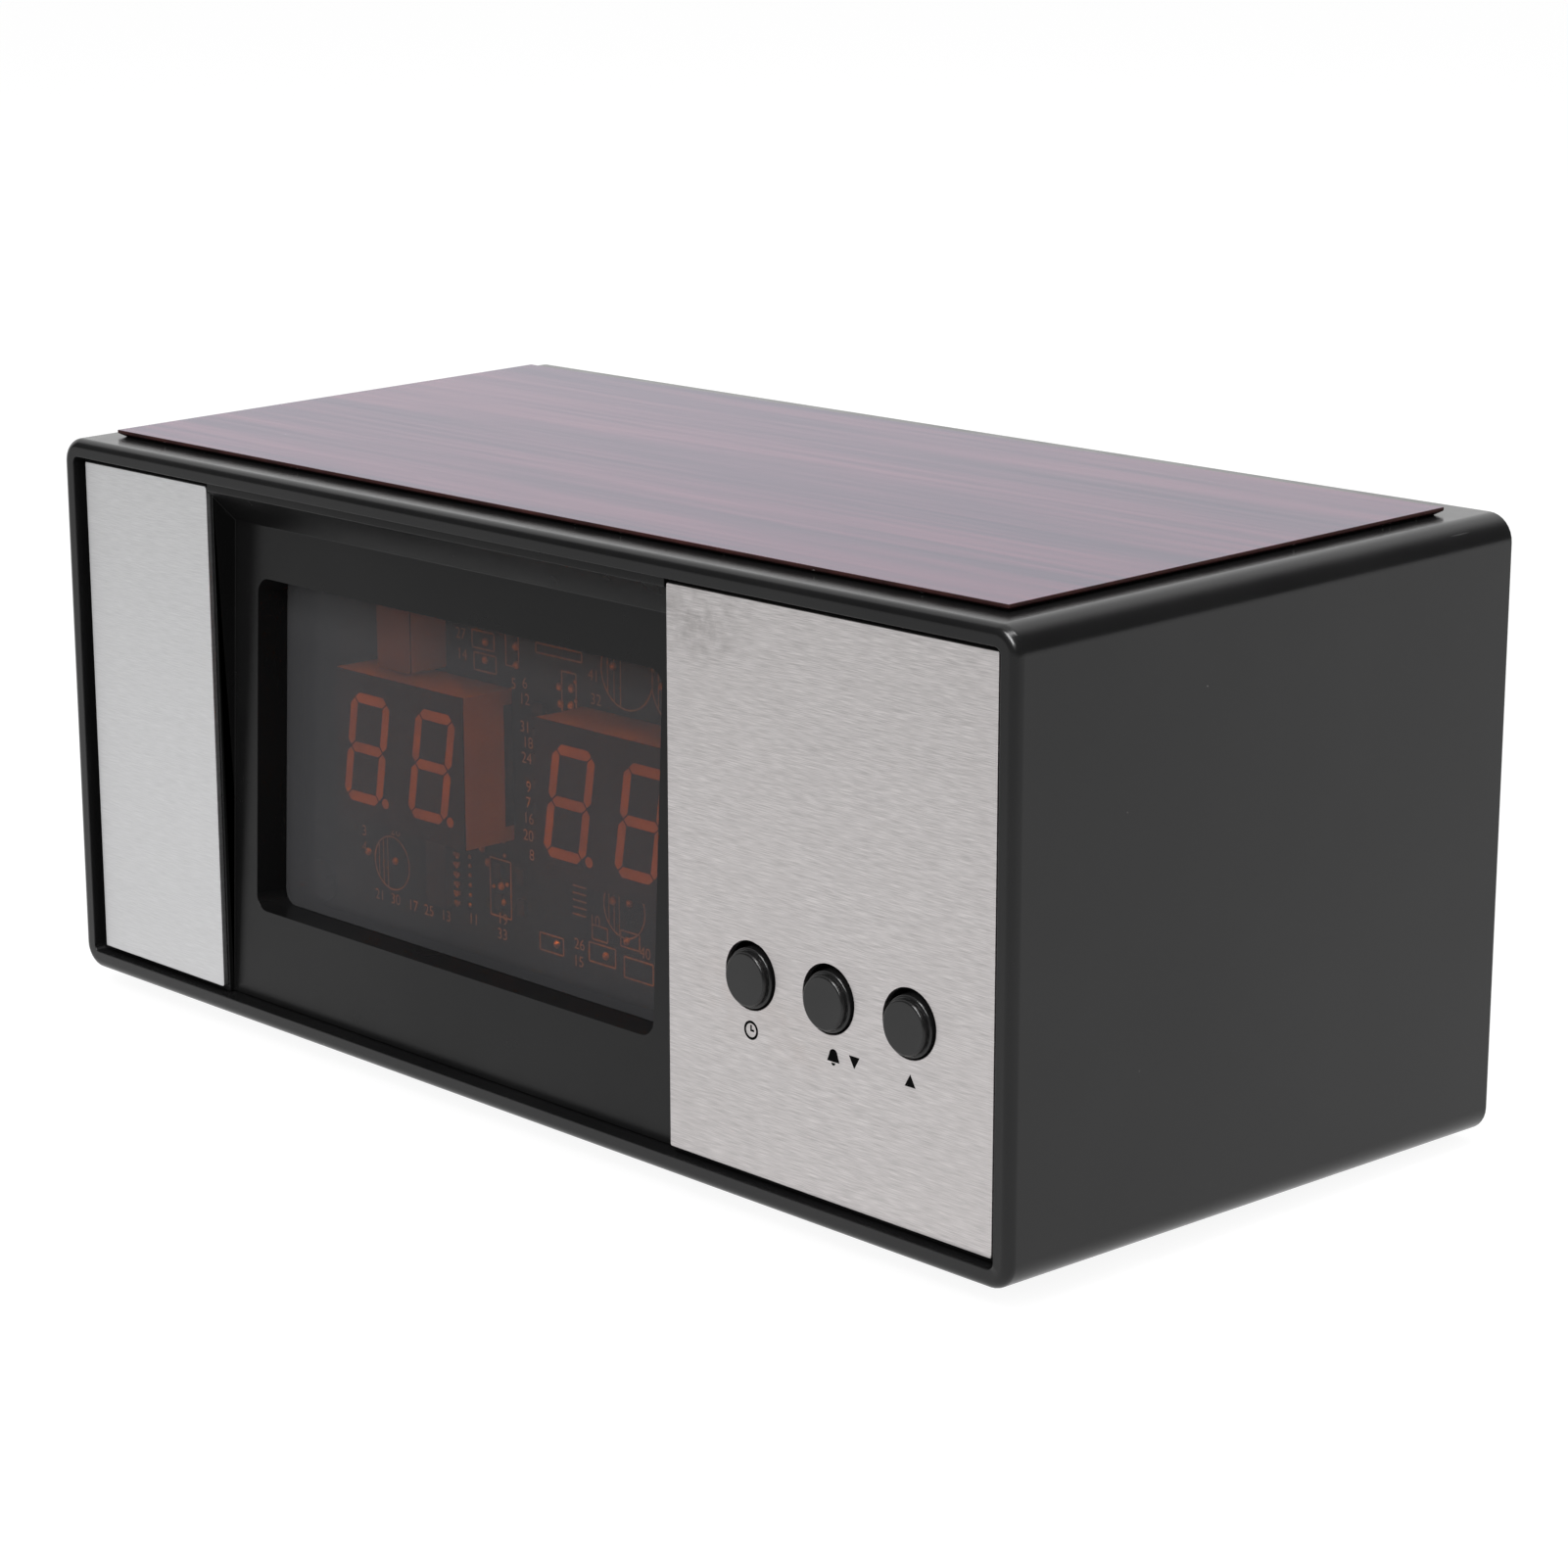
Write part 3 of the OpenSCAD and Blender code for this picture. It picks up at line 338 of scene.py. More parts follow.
def smokedSheet(name, finish):
    # lamps pass straight through the sheet, tinted, so that what is behind it is lit
    material, tree, shader = newMaterial(name)
    cloud = noise(tree, coords(tree), finish["cloud"])
    setInputs(tree, shader, {
        "Base Color": (*finish["tint"], 1),
        "Transmission Weight": 1,
        "IOR": finish["bend"],
        "Coat Weight": finish["coat"],
        "Coat Roughness": finish["coatRough"],
        "Roughness": mapRange(tree, cloud, *noiseSpan, 0.0, finish["rough"]),
    })
    film = tuple(math.sqrt(c) for c in finish["tint"])
    clear = addNode(tree, "ShaderNodeBsdfTransparent", {"Color": (*film, 1)})
    shadow = addNode(tree, "ShaderNodeLightPath").outputs["Is Shadow Ray"]
    blendSurface(tree, shadow, shader.outputs["BSDF"], clear.outputs["BSDF"])
    return material


def paintedReflectionFilm(name, finish):
    # a nearly clear grey film that only greys what is behind it, a painted reflection of the room in the window
    material, tree, shader = newMaterial(name)
    cloud = mapRange(tree, noise(tree, coords(tree), finish["cloud"]), *noiseSpan)
    tone = mixColour(tree, cloud, finish["dark"], finish["light"])
    place = axes(tree)
    # painted shade darkens the film towards the right, painted light brightens it towards the top
    dark = mapRange(tree, place["X"], *finish["shadeX"], 0, finish["shadeShare"])
    topLight = mapRange(tree, place["Z"], *finish["litZ"], 0, finish["litShare"])
    tone = mixColour(tree, dark, tone, (0, 0, 0))
    tone = mixColour(tree, topLight, tone, (1, 1, 1))
    setInputs(tree, shader, {"Base Color": tone, "Roughness": finish["rough"], "Alpha": finish["alpha"]})
    return material


smokedWindow = smokedSheet("smokedWindow", sheetFinish)
windowReflectionFilm = paintedReflectionFilm("windowReflectionFilm", reflectionFilmFinish)


# housings with a painted face; on the film capacitor the dark face is painted shade

moduleLow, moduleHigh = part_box("left_digit_housing")
paintSet = {
    "depth": 0.25 * mm, "soft": 0.05 * mm, "cloud": 260, "rough": (0.42, 0.55), "grain": 3000, "bump": 0.02,
    "relief": 0.03, "shine": 0.12, "slotDeep": 1.4 * mm, "slotShare": 0.4,
}
housingFinish = {
    "side": (0.53, 0.48, 0.4), "sideDark": (0.43, 0.38, 0.32), "face": (0.008, 0.008, 0.009),
    "faceLight": (0.012, 0.012, 0.013), "edge": moduleLow.y + paintSet["depth"],
    # painted shade of the gap at the rear of the side, as a dark band
    "slot": {"from": moduleHigh.y - paintSet["slotDeep"], "middle": (moduleLow.z + moduleHigh.z) / 2,
             "half": paintSet["slotShare"] * (moduleHigh.z - moduleLow.z)},
}
# painted shade: the film capacitor's front face is much darker than its sides
filmCapShadedFinish = {
    "side": (0.66, 0.6, 0.5), "sideDark": (0.56, 0.5, 0.42), "face": (0.17, 0.16, 0.14),
    "faceLight": (0.22, 0.2, 0.18), "edge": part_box("film_capacitor")[0].y + paintSet["depth"],
}


def faceSplit(tree, edge, soft):
    # 1 in front of a plane across Y, 0 behind it
    return mapRange(tree, axes(tree)["Y"], *around(edge, soft), 1, 0)


def rearGapShade(tree, slot):
    # painted shade of the gap at the housing's rear: 1 in a band at the rear, about the middle of the height
    place = axes(tree)
    deep = compute(tree, "GREATER_THAN", place["Y"], slot["from"])
    off = compute(tree, "ABSOLUTE", compute(tree, "SUBTRACT", place["Z"], slot["middle"]))
    return compute(tree, "MULTIPLY", deep, compute(tree, "LESS_THAN", off, slot["half"]))


def paintedHousing(name, finish):
    material, tree, shader = newMaterial(name)
    cloud = noise(tree, coords(tree), paintSet["cloud"])
    grain = noise(tree, coords(tree), paintSet["grain"], detail=2)
    side = mixColour(tree, cloud, finish["side"], finish["sideDark"])
    # painted shade: the gap at the rear of the side, in the face colour
    if "slot" in finish:
        side = mixColour(tree, rearGapShade(tree, finish["slot"]), side, finish["face"])
    face = mixColour(tree, cloud, finish["face"], finish["faceLight"])
    front = faceSplit(tree, finish["edge"], paintSet["soft"])
    setInputs(tree, shader, {
        "Base Color": mixColour(tree, front, side, face),
        "Roughness": mapRange(tree, cloud, *noiseSpan, *paintSet["rough"]),
        "Normal": bump(tree, grain, paintSet["bump"], paintSet["relief"]),
        "Specular IOR Level": paintSet["shine"],
    })
    return material


ledHousing = paintedHousing("ledHousing", housingFinish)
filmCapShadedCase = paintedHousing("filmCapShadedCase", filmCapShadedFinish)


# circuit boards

resistFinish = {
    "dark": (0.003, 0.007, 0.005), "light": (0.005, 0.011, 0.007), "track": (0.006, 0.013, 0.009), "cell": 190,
    "trackSpan": (0.05, 0.07), "cloud": 90, "rough": 0.4, "shine": 0.2, "bump": 0.06, "relief": 0.03,
}


def boardResist(name, finish):
    # solder resist with faint copper tracks under it
    material, tree, shader = newMaterial(name)
    cell = addNode(tree, "ShaderNodeTexVoronoi", {"Vector": coords(tree), "Scale": finish["cell"]},
                   feature="DISTANCE_TO_EDGE", distance="MANHATTAN")
    track = mapRange(tree, cell.outputs["Distance"], *finish["trackSpan"], 1, 0)
    base = mixColour(tree, noise(tree, coords(tree), finish["cloud"]), finish["dark"], finish["light"])
    setInputs(tree, shader, {
        "Base Color": mixColour(tree, track, base, finish["track"]),
        "Roughness": finish["rough"],
        "Specular IOR Level": finish["shine"],
        "Normal": bump(tree, track, finish["bump"], finish["relief"]),
    })
    return material


circuitBoard = boardResist("circuitBoard", resistFinish)


# plain mouldings, metals and rubbers

plainSet = {
    "cloud": 220, "grain": 3500, "bump": 0.1, "relief": 0.03, "roughHalf": 0.06, "metal": 0, "shine": 0.5,
    "dustScale": 900, "dustShare": 0.4, "dustTone": (0.7, 0.68, 0.65),
}
sheetThick = 0.4 * mm
sheetLow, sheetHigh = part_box("top_veneer")
sheetClimb = (sheetHigh.z - sheetLow.z - sheetThick) / (sheetHigh.y - sheetLow.y)
bandDeep = 0.28 * mm
panelBand = {
    "climb": sheetClimb, "above": sheetLow.z - sheetClimb * sheetLow.y - bandDeep, "tone": (0.03, 0.009, 0.008),
}


def topBand(tree, band):
    # 1 above a plane that climbs towards the back
    place = axes(tree)
    climb = compute(tree, "MULTIPLY", place["Y"], band["climb"])
    return compute(tree, "GREATER_THAN", compute(tree, "SUBTRACT", place["Z"], climb), band["above"])


def simpleFinish(name, dark, light, rough, **extra):
    # clouded tone and roughness over a fine grain
    finish = {**plainSet, **extra}
    material, tree, shader = newMaterial(name)
    cloud = mapRange(tree, noise(tree, coords(tree), finish["cloud"]), *noiseSpan)
    grain = noise(tree, coords(tree), finish["grain"], detail=2, rough=0.6)
    tone = mixColour(tree, cloud, dark, light)
    if "band" in finish:
        tone = mixColour(tree, topBand(tree, finish["band"]), tone, finish["band"]["tone"])
    if "dust" in finish:
        dust = specks(tree, finish["dustScale"], finish["dust"], finish["dustShare"])
        tone = mixColour(tree, dust, tone, finish["dustTone"])
    setInputs(tree, shader, {
        "Base Color": tone,
        "Roughness": mapRange(tree, grain, *noiseSpan, *around(rough, finish["roughHalf"])),
        "Normal": bump(tree, grain, finish["bump"], finish["relief"]),
        "Metallic": finish["metal"],
        "Specular IOR Level": finish["shine"],
    })
    return material


veneerEdge = simpleFinish("veneerEdge", (0.018, 0.0055, 0.005), (0.048, 0.014, 0.012), 0.5, bump=0.4, shine=0.25)
panelBlack = simpleFinish("panelBlack", (0.018, 0.016, 0.016), (0.034, 0.028, 0.027), 0.5, grain=2600, bump=0.4,
                          dust=0.12, shine=0.25, band=panelBand)
ledResin = simpleFinish("ledResin", (0.335, 0.265, 0.18), (0.41, 0.33, 0.235), 0.35, shine=0.2)
footRubber = simpleFinish("footRubber", (0.012, 0.012, 0.012), (0.022, 0.022, 0.022), 0.7, bump=0.3)
screwSteel = simpleFinish("screwSteel", (0.36, 0.36, 0.37), (0.5, 0.5, 0.51), 0.33, metal=1)
tinnedMetal = simpleFinish("tinnedMetal", (0.6, 0.6, 0.6), (0.72, 0.72, 0.71), 0.25, metal=1)
chipBlack = simpleFinish("chipBlack", (0.014, 0.014, 0.015), (0.022, 0.022, 0.023), 0.5)
palePlastic = simpleFinish("palePlastic", (0.62, 0.58, 0.5), (0.7, 0.66, 0.58), 0.45)
canSleeve = simpleFinish("canSleeve", (0.012, 0.014, 0.05), (0.02, 0.022, 0.07), 0.3)
ribbonGrey = simpleFinish("ribbonGrey", (0.2, 0.2, 0.21), (0.28, 0.28, 0.29), 0.5)
leadRed = simpleFinish("leadRed", (0.3, 0.02, 0.015), (0.4, 0.03, 0.02), 0.45)
printInk = simpleFinish("printInk", (0.003, 0.003, 0.003), (0.006, 0.006, 0.006), 0.7, shine=0.0)
boardInk = simpleFinish("boardInk", (0.37, 0.37, 0.355), (0.49, 0.49, 0.465), 0.6, bump=0.2)
solder = simpleFinish("solder", (0.8, 0.78, 0.72), (0.92, 0.9, 0.84), 0.24, metal=0.5)
print("materials made")


# CAD nodes whose shape is right keep it and take a finish

nodeFinish = {
    "bezel_screws": screwSteel, "main_board": circuitBoard, "main_board_screws": screwSteel,
    "left_digit_segments": ledResin, "right_digit_segments": ledResin, "digit_pins": tinnedMetal,
    "driver_chip": chipBlack, "driver_chip_legs": solder, "controller_chip": chipBlack,
    "controller_chip_legs": tinnedMetal, "chip_resistors": chipBlack, "film_capacitor": filmCapShadedCase,
    "electrolytic_capacitors": canSleeve, "crystal_can": tinnedMetal, "buzzer": chipBlack,
    "coin_cell_holder": chipBlack, "coin_cell": tinnedMetal, "button_header": palePlastic,
    "ribbon_header": palePlastic, "button_ribbon": ribbonGrey, "button_board": circuitBoard,
    "button_board_screws": screwSteel, "switch_bodies": chipBlack, "switch_covers": tinnedMetal,
    "switch_legs": tinnedMetal, "snap_domes": tinnedMetal, "set_switch_plunger": chipBlack,
    "down_switch_plunger": chipBlack, "up_switch_plunger": chipBlack, "socket_pin": tinnedMetal,
    "socket_nut": screwSteel, "socket_terminals": tinnedMetal, "power_header": palePlastic,
    "power_leads": leadRed,
}
for name, material in nodeFinish.items():
    mesh = nodes[name].data
    mesh.materials.clear()
    mesh.materials.append(material)
print("finishes on", len(nodeFinish), "inner nodes")


# pieces with softened edges stand for the outer nodes

def placeObject(name, data):
    thing = bpy.data.objects.new(name, data)
    bpy.context.scene.collection.objects.link(thing)
    return thing


def bakedMesh(thing):
    # the object's mesh with its modifiers applied
    return bpy.data.meshes.new_from_object(thing.evaluated_get(bpy.context.evaluated_depsgraph_get()))


def addPiece(name, mesh, body):
    piece = placeObject(name, mesh)
    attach(piece, body)
    return piece


edgeSet = {"merge": 0.0005, "flatAngle": 0.4, "sharpAngle": 35}


def softened(node, name, material, slot, edge, steps=2, body="clock"):
    # a copy of the node's mesh with its doubles merged, flat faces joined and edges rounded
    mesh = nodes[node].data.copy()
    mesh.name = name
    work = bmesh.new()
    work.from_mesh(mesh)
    bmesh.ops.remove_doubles(work, verts=work.verts, dist=edgeSet["merge"] * mm)
    flat = math.radians(edgeSet["flatAngle"])
    bmesh.ops.dissolve_limit(work, angle_limit=flat, verts=work.verts, edges=work.edges)
    work.to_mesh(mesh)
    work.free()
    mesh.materials.clear()
    mesh.materials.append(material)
    mesh.shade_smooth()
    piece = placeObject(name, mesh)
    rounding = piece.modifiers.new("edges", "BEVEL")
    rounding.width = edge * mm
    rounding.segments = steps
    rounding.limit_method = "ANGLE"
    rounding.angle_limit = math.radians(edgeSet["sharpAngle"])
    rounding.harden_normals = True
    shading = piece.modifiers.new("shading", "WEIGHTED_NORMAL")
    shading.keep_sharp = True
    finished = bakedMesh(piece)
    piece.modifiers.clear()
    piece.data = finished
    bpy.data.meshes.remove(mesh)
    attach(piece, body)
    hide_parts(node)
    return piece


outerPieces = [
    {"node": "case_shell", "name": "caseShell", "material": casePlastic, "slot": "case_plastic", "edge": 0.3},
    {"node": "front_bezel", "name": "frontBezel", "material": bezelPlastic, "slot": "bezel_plastic", "edge": 0.3},
    {"node": "left_trim_plate", "name": "leftTrimPlate", "material": leftMetal, "slot": "trim_metal", "edge": 0.12},
    {"node": "right_trim_plate", "name": "rightTrimPlate", "material": rightMetal, "slot": "trim_metal",
     "edge": 0.12},
    {"node": "display_window", "name": "displayWindow", "material": smokedWindow, "slot": "smoked_window",
     "edge": 0.15},
    {"node": "top_board", "name": "topBoard", "material": panelBlack, "slot": "panel_board", "edge": 0.05},
    {"node": "top_veneer", "name": "topVeneer", "material": veneer, "slot": "veneer", "edge": 0.08},
    {"node": "back_cover", "name": "backCover", "material": casePlastic, "slot": "case_plastic", "edge": 0.25},
    {"node": "rubber_feet", "name": "rubberFeet", "material": footRubber, "slot": "foot_rubber", "edge": 0.35,
     "steps": 3},
    {"node": "back_cover_screws", "name": "backCoverScrews", "material": screwSteel, "slot": "screw_steel",
     "edge": 0.12},
    {"node": "power_socket", "name": "powerSocket", "material": chipBlack, "slot": "chip_black", "edge": 0.25,
     "steps": 3},
    {"node": "left_digit_housing", "name": "leftDigitHousing", "material": ledHousing, "slot": "led_housing",
     "edge": 0.15},
    {"node": "right_digit_housing", "name": "rightDigitHousing", "material": ledHousing, "slot": "led_housing",
     "edge": 0.15},
]
buttonCaps = [
    {"node": "set_button_cap", "name": "setButtonCap", "body": "set_button"},
    {"node": "down_button_cap", "name": "downButtonCap", "body": "down_button"},
    {"node": "up_button_cap", "name": "upButtonCap", "body": "up_button"},
]
for spec in buttonCaps:
    outerPieces.append({**spec, "material": buttonPlastic, "slot": "button_plastic", "edge": 0.12})
pieces = {spec["name"]: softened(**spec) for spec in outerPieces}

steepNormal = 0.5  # faces whose normal rises less than this count as sides


def paintSides(piece, material):
    # a second finish on the faces that don't look up or down
    piece.data.materials.append(material)
    for face in piece.data.polygons:
        if abs(face.normal.z) < steepNormal:
            face.material_index = 1


paintSides(pieces["topVeneer"], veneerEdge)

capFront = {
    "depth": 0.72, "centre": 0.01, "flat": 2.45, "newFlat": 2.82, "side": 2.92, "newSide": 3.1, "round": 0.45,
    "newRound": 0.26, "neck": 1.6, "drop": 0.3,
}


def fillFront(piece, node):
    # the front step keeps its depth and gets a tighter rounding and a fuller disc
    low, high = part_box(node)
    middle = Vector(((low.x + high.x) / 2, 0, (low.z + high.z) / 2))
    for vert in piece.data.vertices:
        depth = (vert.co.y - low.y) / mm
        off = Vector((vert.co.x - middle.x, 0, vert.co.z - middle.z))
        radius = off.length / mm
        if depth > capFront["depth"] or not capFront["centre"] < radius < capFront["side"]:
            continue
        if radius < capFront["flat"]:
            grown = radius * capFront["newFlat"] / capFront["flat"]
        else:
            share = (radius - capFront["flat"]) / (capFront["side"] - capFront["flat"])
            grown = capFront["newFlat"] + share * (capFront["newSide"] - capFront["newFlat"])
        if depth < capFront["round"]:
            depth *= capFront["newRound"] / capFront["round"]
        place = middle + off * (grown / radius)
        vert.co = (place.x, low.y + depth * mm, place.z)
    # all of the front sits low in its hole
    for vert in piece.data.vertices:
        if vert.co.y - low.y < capFront["neck"] * mm:
            vert.co.z -= capFront["drop"] * mm


for spec in buttonCaps:
    fillFront(pieces[spec["name"]], spec["node"])
print("outer pieces:", len(pieces))


# flat marks, in X and Z

markSet = {"merge": 0.0002, "ringSteps": 40}


def flatShape(work, outline, y, rise):
    # a closed flat shape, raised a little towards the front
    front = [work.verts.new((x, y - rise, z)) for x, z in outline]
    back = [work.verts.new((x, y + rise, z)) for x, z in outline]
    count = len(outline)
    work.faces.new(front)
    work.faces.new(list(reversed(back)))
    for i in range(count):
        j = (i + 1) % count
        work.faces.new((front[j], front[i], back[i], back[j]))


def arcPoints(x, z, radius, start, end, count):
    angles = [math.radians(start + (end - start) * i / (count - 1)) for i in range(count)]
    return [(x + radius * math.cos(a), z + radius * math.sin(a)) for a in angles]


def ringStrip(work, x, z, radius, width, y, rise):
    count = markSet["ringSteps"]
    outer = arcPoints(x, z, radius + width / 2, 0, 360, count)
    inner = arcPoints(x, z, radius - width / 2, 0, 360, count)
    for i in range(count - 1):
        flatShape(work, [outer[i], outer[i + 1], inner[i + 1], inner[i]], y, rise)


def stroke(work, start, end, width, y, rise):
    a, b = Vector(start), Vector(end)
    along = (b - a).normalized()
    side = Vector((-along.y, along.x)) * width / 2
    flatShape(work, [tuple(a - side), tuple(b - side), tuple(b + side), tuple(a + side)], y, rise)


def meshFrom(work, name, material):
    bmesh.ops.remove_doubles(work, verts=work.verts, dist=markSet["merge"] * mm)
    bmesh.ops.recalc_face_normals(work, faces=work.faces)
    mesh = bpy.data.meshes.new(name)
    work.to_mesh(mesh)
    work.free()
    mesh.materials.append(material)
    return mesh


# signs printed on the right plate: clock, bell and two arrows

signs = {
    "row": 22.45, "clockX": 44.13, "bellX": 56.95, "downX": 60.12, "upX": 68.44, "line": 0.3, "rise": 0.01,
    "arrowW": 1.6, "arrowH": 1.4, "dial": 0.95, "handUp": 0.62, "handSide": 0.5, "handShare": 0.8,
    "domeUp": 0.2, "dome": 0.62, "brim": 0.95, "brimDown": 0.62, "clapper": 0.3, "clapperDown": 0.74,
    "domeSteps": 14, "clapperSteps": 10,
}


def makeSigns():
    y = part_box("right_trim_plate")[0].y
    size = {name: value * mm for name, value in signs.items()}
    row, rise, line = size["row"], size["rise"], size["line"]
    half, tall = size["arrowW"] / 2, size["arrowH"] / 2
    hand = line * signs["handShare"]
    work = bmesh.new()
    for x, way in ((size["downX"], -1), (size["upX"], 1)):
        foot = row - way * tall
        flatShape(work, [(x - half, foot), (x + half, foot), (x, row + way * tall)], y, rise)
    x = size["clockX"]
    ringStrip(work, x, row, size["dial"], line, y, rise)
    stroke(work, (x, row), (x, row + size["handUp"]), hand, y, rise)
    stroke(work, (x - hand / 2, row), (x + size["handSide"], row), hand, y, rise)
    x = size["bellX"]
    dome = arcPoints(x, row + size["domeUp"], size["dome"], 0, 180, signs["domeSteps"])
    brim = row - size["brimDown"]
    flatShape(work, dome + [(x - size["brim"], brim), (x + size["brim"], brim)], y, rise)
    clapper = arcPoints(x, row - size["clapperDown"], size["clapper"], 180, 360, signs["clapperSteps"])
    flatShape(work, clapper, y, rise)
    return addPiece("buttonSigns", meshFrom(work, "buttonSigns", printInk), "clock")


makeSigns()
print("signs printed")


# painted reflection on the front of the window: a grey film inside its opening

reflectionFilmSet = {"lap": 2.03, "corner": 1.95, "gap": 0.01, "thick": 0.02, "facing": -0.9, "steps": 9}


def makeReflectionFilm():
    mesh = nodes["display_window"].data
    front = [face for face in mesh.polygons if face.normal.y < reflectionFilmSet["facing"]]
    normal = front[0].normal.copy()
    along = Vector((1, 0, 0))
    rise = normal.cross(along).normalized()
    points = [mesh.vertices[i].co for face in front for i in face.vertices]
    lap, corner = reflectionFilmSet["lap"] * mm, reflectionFilmSet["corner"] * mm
    left, right = min(p.x for p in points) + lap, max(p.x for p in points) - lap
    low, high = min(p.dot(rise) for p in points) + lap, max(p.dot(rise) for p in points) - lap
    depth = points[0].dot(normal)
    outline = []
    for x, z, start in ((right, high, 0), (left, high, 90), (left, low, 180), (right, low, 270)):
        cx = x - corner if x == right else x + corner
        cz = z - corner if z == high else z + corner
        outline += arcPoints(cx, cz, corner, start, start + 90, reflectionFilmSet["steps"])
    work = bmesh.new()
    flatShape(work, outline, 0, reflectionFilmSet["thick"] / 2 * mm)
    away = depth + (reflectionFilmSet["gap"] + reflectionFilmSet["thick"] / 2) * mm
    for vert in work.verts:
        x, y, z = vert.co
        vert.co = along * x + rise * z + normal * (away - y)
    return addPiece("windowReflectionSheet", meshFrom(work, "windowReflectionSheet", windowReflectionFilm), "clock")


makeReflectionFilm()
print("window hazed")


# solder joints and print on the front of the circuit board, in mm from its middle

boardLow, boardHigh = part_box("main_board")
boardX = (boardLow.x + boardHigh.x) / 2
boardZ = (boardLow.z + boardHigh.z) / 2
boardFront = boardLow.y

jointSet = {
    "radius": 0.55, "height": 0.45, "segments": 12, "rings": 8, "dotShare": 0.55,
    "joints": [(-11.6, 14.7), (-11.7, 12.4), (12.0, 15.4), (20.6, 14.3), (-36.0, -16.8), (-30.5, -17.0),
               (-9.2, -18.1), (11.5, -13.7), (14.5, -13.4), (13.9, -18.3), (1.0, -21.4), (10.1, -21.0),
               (-13.0, -11.9), (-11.9, -13.5), (-5.9, 15.0), (-5.8, 12.7), (2.2, 11.3), (4.4, 11.4), (2.4, 9.2),
               (4.3, 9.3), (-9.4, -16.1)],
    "dots": [(-18.0, -14.0), (-18.1, -15.2), (-18.1, -16.5), (-18.1, -17.8), (-18.2, -19.0), (-18.2, -20.3),
             (-15.5, -13.5), (-15.5, -14.7), (-15.5, -15.9), (-15.5, -17.2), (-15.5, -18.5), (-15.6, -19.8),
             (-11.4, -10.9), (-8.8, -10.2), (-8.7, -12.0), (-8.3, -15.7), (-10.9, -16.4), (5.1, 12.4), (5.2, 10.0)],
}
printSet = {
    "line": 0.22, "rise": 0.012, "dash": 2.5, "hatches": (-0.75, -0.5, -0.25), "hatchShare": 0.7, "digit": 2.0,
    "dashes": [(4.1, -13.2), (4.1, -14.1), (4.1, -15.0), (4.1, -15.9), (4.0, -16.8)],
    "circles": [(14.4, 15.0, 4.6), (23.4, 14.4, 4.6), (13.5, -14.3, 3.7), (-31.2, -17.4, 3.5)],
    "boxes": [(16.0, -21.6, 5.2, 2.6), (0.0, -21.6, 4.4, 2.2), (9.4, -21.0, 4.8, 2.4), (-12.1, 14.8, 4.2, 2.2),
              (-11.8, 12.0, 4.2, 2.2), (14.5, -18.1, 3.4, 2.0), (9.0, -18.4, 2.8, 1.8), (2.1, 15.5, 8.4, 1.2),
              (-6.6, 14.6, 2.4, 4.4), (3.9, 10.8, 2.6, 5.0), (-9.6, -16.4, 4.0, 7.4)],
    "numbers": [("12", -4.4, 8.6), ("6", -4.3, 10.6), ("31", -4.4, 5.1), ("18", -3.9, 3.2), ("24", -4.2, 1.2),
                ("9", -3.9, -2.4), ("7", -4.0, -4.4), ("16", -4.0, -6.4), ("20", -4.1, -8.6), ("8", -3.5, -11.0),
                ("32", 8.8, 10.7), ("41", 8.4, 13.6), ("5", -6.4, 10.2), ("27", -16.4, 15.0), ("14", -16.2, 12.4),
                ("10", 8.1, -17.0), ("19", -9.3, -20.4), ("33", -9.4, -22.4), ("11", -15.0, -21.6),
                ("26", 5.2, -20.6), ("15", 5.0, -22.8), ("40", 17.2, -19.2), ("28", -30.4, -13.0),
                ("3", -36.8, -14.2), ("4", -36.9, -16.4), ("21", -33.9, -22.2), ("30", -30.7, -22.2),
                ("17", -27.1, -22.3), ("25", -23.9, -22.3), ("13", -20.5, -22.3)],
}


def onBoard(x, z):
    return boardX + x * mm, boardZ + z * mm


def jointTree():
    # a low dome on each point, sized by named inputs and the point's own share
    tree = bpy.data.node_groups.new("solderJoints", "GeometryNodeTree")
    sockets = {"Geometry": "NodeSocketGeometry", "Joint Radius": "NodeSocketFloat",
               "Joint Height": "NodeSocketFloat", "Finish": "NodeSocketMaterial"}
    for label, kind in sockets.items():
        tree.interface.new_socket(label, in_out="INPUT", socket_type=kind)
    tree.interface.new_socket("Geometry", in_out="OUTPUT", socket_type="NodeSocketGeometry")
    given = addNode(tree, "NodeGroupInput").outputs
    ball = addNode(tree, "GeometryNodeMeshUVSphere",
                   {"Segments": jointSet["segments"], "Rings": jointSet["rings"], "Radius": 1.0})
    wide, high = given["Joint Radius"], given["Joint Height"]
    size = addNode(tree, "ShaderNodeCombineXYZ", {"X": wide, "Y": high, "Z": wide})
    share = addNode(tree, "GeometryNodeInputNamedAttribute", {"Name": "jointSize"}, data_type="FLOAT")
    grown = addNode(tree, "ShaderNodeVectorMath",
                    {0: size.outputs["Vector"], "Scale": share.outputs["Attribute"]}, operation="SCALE")
    place = addNode(tree, "GeometryNodeInstanceOnPoints",
                    {"Points": given["Geometry"], "Instance": ball.outputs["Mesh"], "Scale": grown.outputs["Vector"]})
    real = addNode(tree, "GeometryNodeRealizeInstances", {"Geometry": place.outputs["Instances"]})
    paint = addNode(tree, "GeometryNodeSetMaterial",
                    {"Geometry": real.outputs["Geometry"], "Material": given["Finish"]})
    addNode(tree, "NodeGroupOutput", {"Geometry": paint.outputs["Geometry"]})
    return tree


